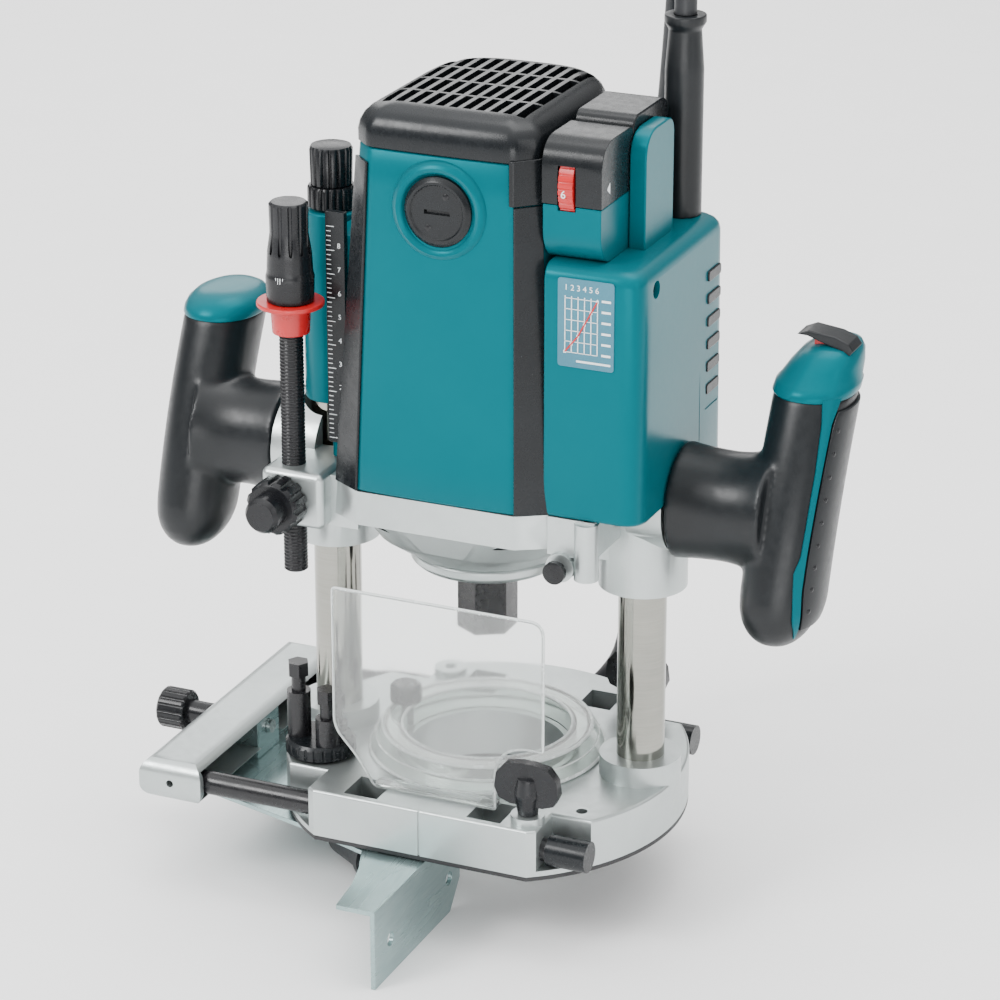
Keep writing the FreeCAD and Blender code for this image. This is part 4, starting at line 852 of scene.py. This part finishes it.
def make_limit_knob():
    place = (-COLUMN_X, 0.0, 250.6)
    bore = [disc_rings(4.2, (-COLUMN_X, 0.0, 249.0), (0.0, 0.0, 1.0), 23.0)]
    low = lathe("limit_knob_low", [(8.6, 0.0), (9.9, 0.6), (9.9, 8.5), (9.2, 9.4)], place, (0.0, 0.0, 1.0),
                "limit_knob", "knob", 120, (0.3, 8.9, 20, 0.9))
    high = lathe("limit_knob_high", [(7.6, 9.2), (8.6, 10.0), (8.9, 24.4), (8.2, 25.8), (6.4, 26.3)],
                 place, (0.0, 0.0, 1.0), "limit_knob", "knob", 120,
                 (9.5, 25.0, 16, 1.0))
    carve(low, bore)
    carve(high, bore)
    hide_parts("limit_knob")


def make_clear_parts():
    outline = rounded([(-26.0, NOZZLE_FOOT, 2.0), (28.0, NOZZLE_FOOT, 1.0), (28.0, 42.0, 6.0),
                       (33.0, 49.5, 5.0),
                       (40.0, 52.0, 4.0), (49.0, 52.0, 1.0), (49.0, 108.3, 6.0), (-44.0, 108.3, 1.5),
                       (-44.0, 46.0, 5.0), (-33.0, 34.0, 6.0)], 2.0, 6)
    plate = prism("deflector_plate", outline, "xz", DEFLECTOR_FRONT, DEFLECTOR_BACK, "base",
                  "clear", 0.3)
    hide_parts("chip_deflector")
    # A pale tube along the deflector's outline is a painted highlight on its clear edge.
    edge = [Vector((x, -56.6, z)) for x, z in outline]
    points, faces = tube_mesh(edge + [edge[0]], 0.62, 8)
    build("deflector_edge", points, faces, "base", "painted_edge_highlight")
    foot = rounded([(-26.0, -57.4), (28.0, -57.4), (28.0, -50.3), (-26.0, -50.3)], 2.0)
    prism("deflector_foot", foot, "xy", NOZZLE_FOOT, 24.4, "base", "clear", 0.3)
    # Pale rings on the nozzle are painted highlights on its clear rims.
    rims = [(44.0, 32.5, 0.8), (35.8, 32.6, 0.7), (49.4, 23.3, 0.8), (47.0, 28.2, 0.4)]
    for index, (radius, z, size) in enumerate(rims):
        circle = [Vector((radius * math.cos(math.radians(5.0 * step)),
                          radius * math.sin(math.radians(5.0 * step)), z)) for step in range(73)]
        points, faces = tube_mesh(circle, size, 8)
        build(f"nozzle_edge_{index}", points, faces, "base", "painted_edge_highlight")


# ---- power cord ---------------------------------------------------------------------

CORD_RADIUS = 4.5
CORD_ROUTE = [
    (69.0, 37.0, 336.0), (69.0, 37.5, 368.0), (63.0, 52.0, 396.5), (52.5, 78.0, 413.0),
    (40.5, 108.5, 413.0), (30.0, 135.0, 396.5), (24.0, 150.0, 368.0), (21.0, 154.0, 311.0),
    (14.0, 155.5, 228.0), (7.0, 154.0, 143.0), (4.5, 151.5, 68.0), (5.5, 151.0, 9.5),
    (-9.5, 150.5, -16.5), (-34.5, 142.5, -31.5), (-62.0, 134.4, -31.5),
]
COIL_CENTRE = (-69.0, 71.0)
COIL_TURNS = [(54.0, -31.5), (45.0, -31.5), (36.0, -31.5), (36.0, -22.5), (45.0, -22.5), (54.0, -22.5)]
COIL_START = 130.0
COIL_STEP = 20.0
COIL_CHANGE = 60.0
PLUG_TAIL = (-76.4, 2.9, -23.0)


def coil_points():
    """Turns wound inwards on the floor and outwards on top, each easing into the next."""
    turns = COIL_TURNS + [(54.0, -13.5)]
    points = []
    angle = COIL_START
    last = COIL_START + 360.0 * len(COIL_TURNS) + 80.0
    while angle <= last + 0.1:
        index = min(int((angle - COIL_START) / 360.0), len(turns) - 1)
        into = (angle - COIL_START) - 360.0 * index
        part = max(0.0, (into - 360.0 + COIL_CHANGE) / COIL_CHANGE)
        radius, height = turns[index]
        if part > 0.0 and index + 1 < len(turns):
            radius += (turns[index + 1][0] - radius) * part
            height += (turns[index + 1][1] - height) * part
        theta = math.radians(angle)
        points.append((COIL_CENTRE[0] + radius * math.cos(theta),
                       COIL_CENTRE[1] + radius * math.sin(theta), height))
        angle += COIL_STEP
    return points


def spline_path(controls):
    """The line of a smooth curve through a route's control points, in metres."""
    data = bpy.data.curves.new("cord_line", "CURVE")
    data.dimensions = "3D"
    spline = data.splines.new("NURBS")
    spline.points.add(len(controls) - 1)
    for point, place in zip(spline.points, controls):
        point.co = (*(Vector(place) * MM), 1.0)
    spline.order_u = 3
    spline.use_endpoint_u = True
    spline.resolution_u = 6
    holder = bpy.data.objects.new("cord_line", data)
    bpy.context.scene.collection.objects.link(holder)
    bpy.context.view_layer.update()
    line = bpy.data.meshes.new_from_object(holder)
    path = [vertex.co.copy() for vertex in line.vertices]
    bpy.data.objects.remove(holder)
    bpy.data.meshes.remove(line)
    return path


def make_cord():
    controls = CORD_ROUTE + [(-84.0, 125.3, -31.5)] + coil_points() + [(-94.0, 15.0, -18.5), PLUG_TAIL]
    path = spline_path(controls)
    points, faces = tube_mesh(path, CORD_RADIUS * MM)
    cord = build("cord", [point / MM for point in points], faces, None, "cord")
    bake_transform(cord)
    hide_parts("power_cord", "cord_coil")


# ---- floor --------------------------------------------------------------------------

def make_floor():
    mesh = bpy.data.meshes.new("floor")
    reach = 6.0
    corners = [(-reach, -reach, FLOOR), (reach, -reach, FLOOR), (reach, reach, FLOOR), (-reach, reach, FLOOR)]
    mesh.from_pydata(corners, [], [(0, 1, 2, 3)])
    mesh.materials.append(surface("floor_paper", (0.93, 0.93, 0.93), (0.95, 0.95, 0.95), 0.85, bump=0.05))
    floor = bpy.data.objects.new("floor", mesh)
    bpy.context.scene.collection.objects.link(floor)


make_camera()
make_studio()
make_cord()
dress_nodes()
make_grips()
make_motor_shell()
make_brush_rings()
make_vent_cap()
make_switch_shell()
make_hood()
make_chart()
make_scale()
make_stop_pole()
make_springs()
make_limit_knob()
make_clear_parts()
make_floor()
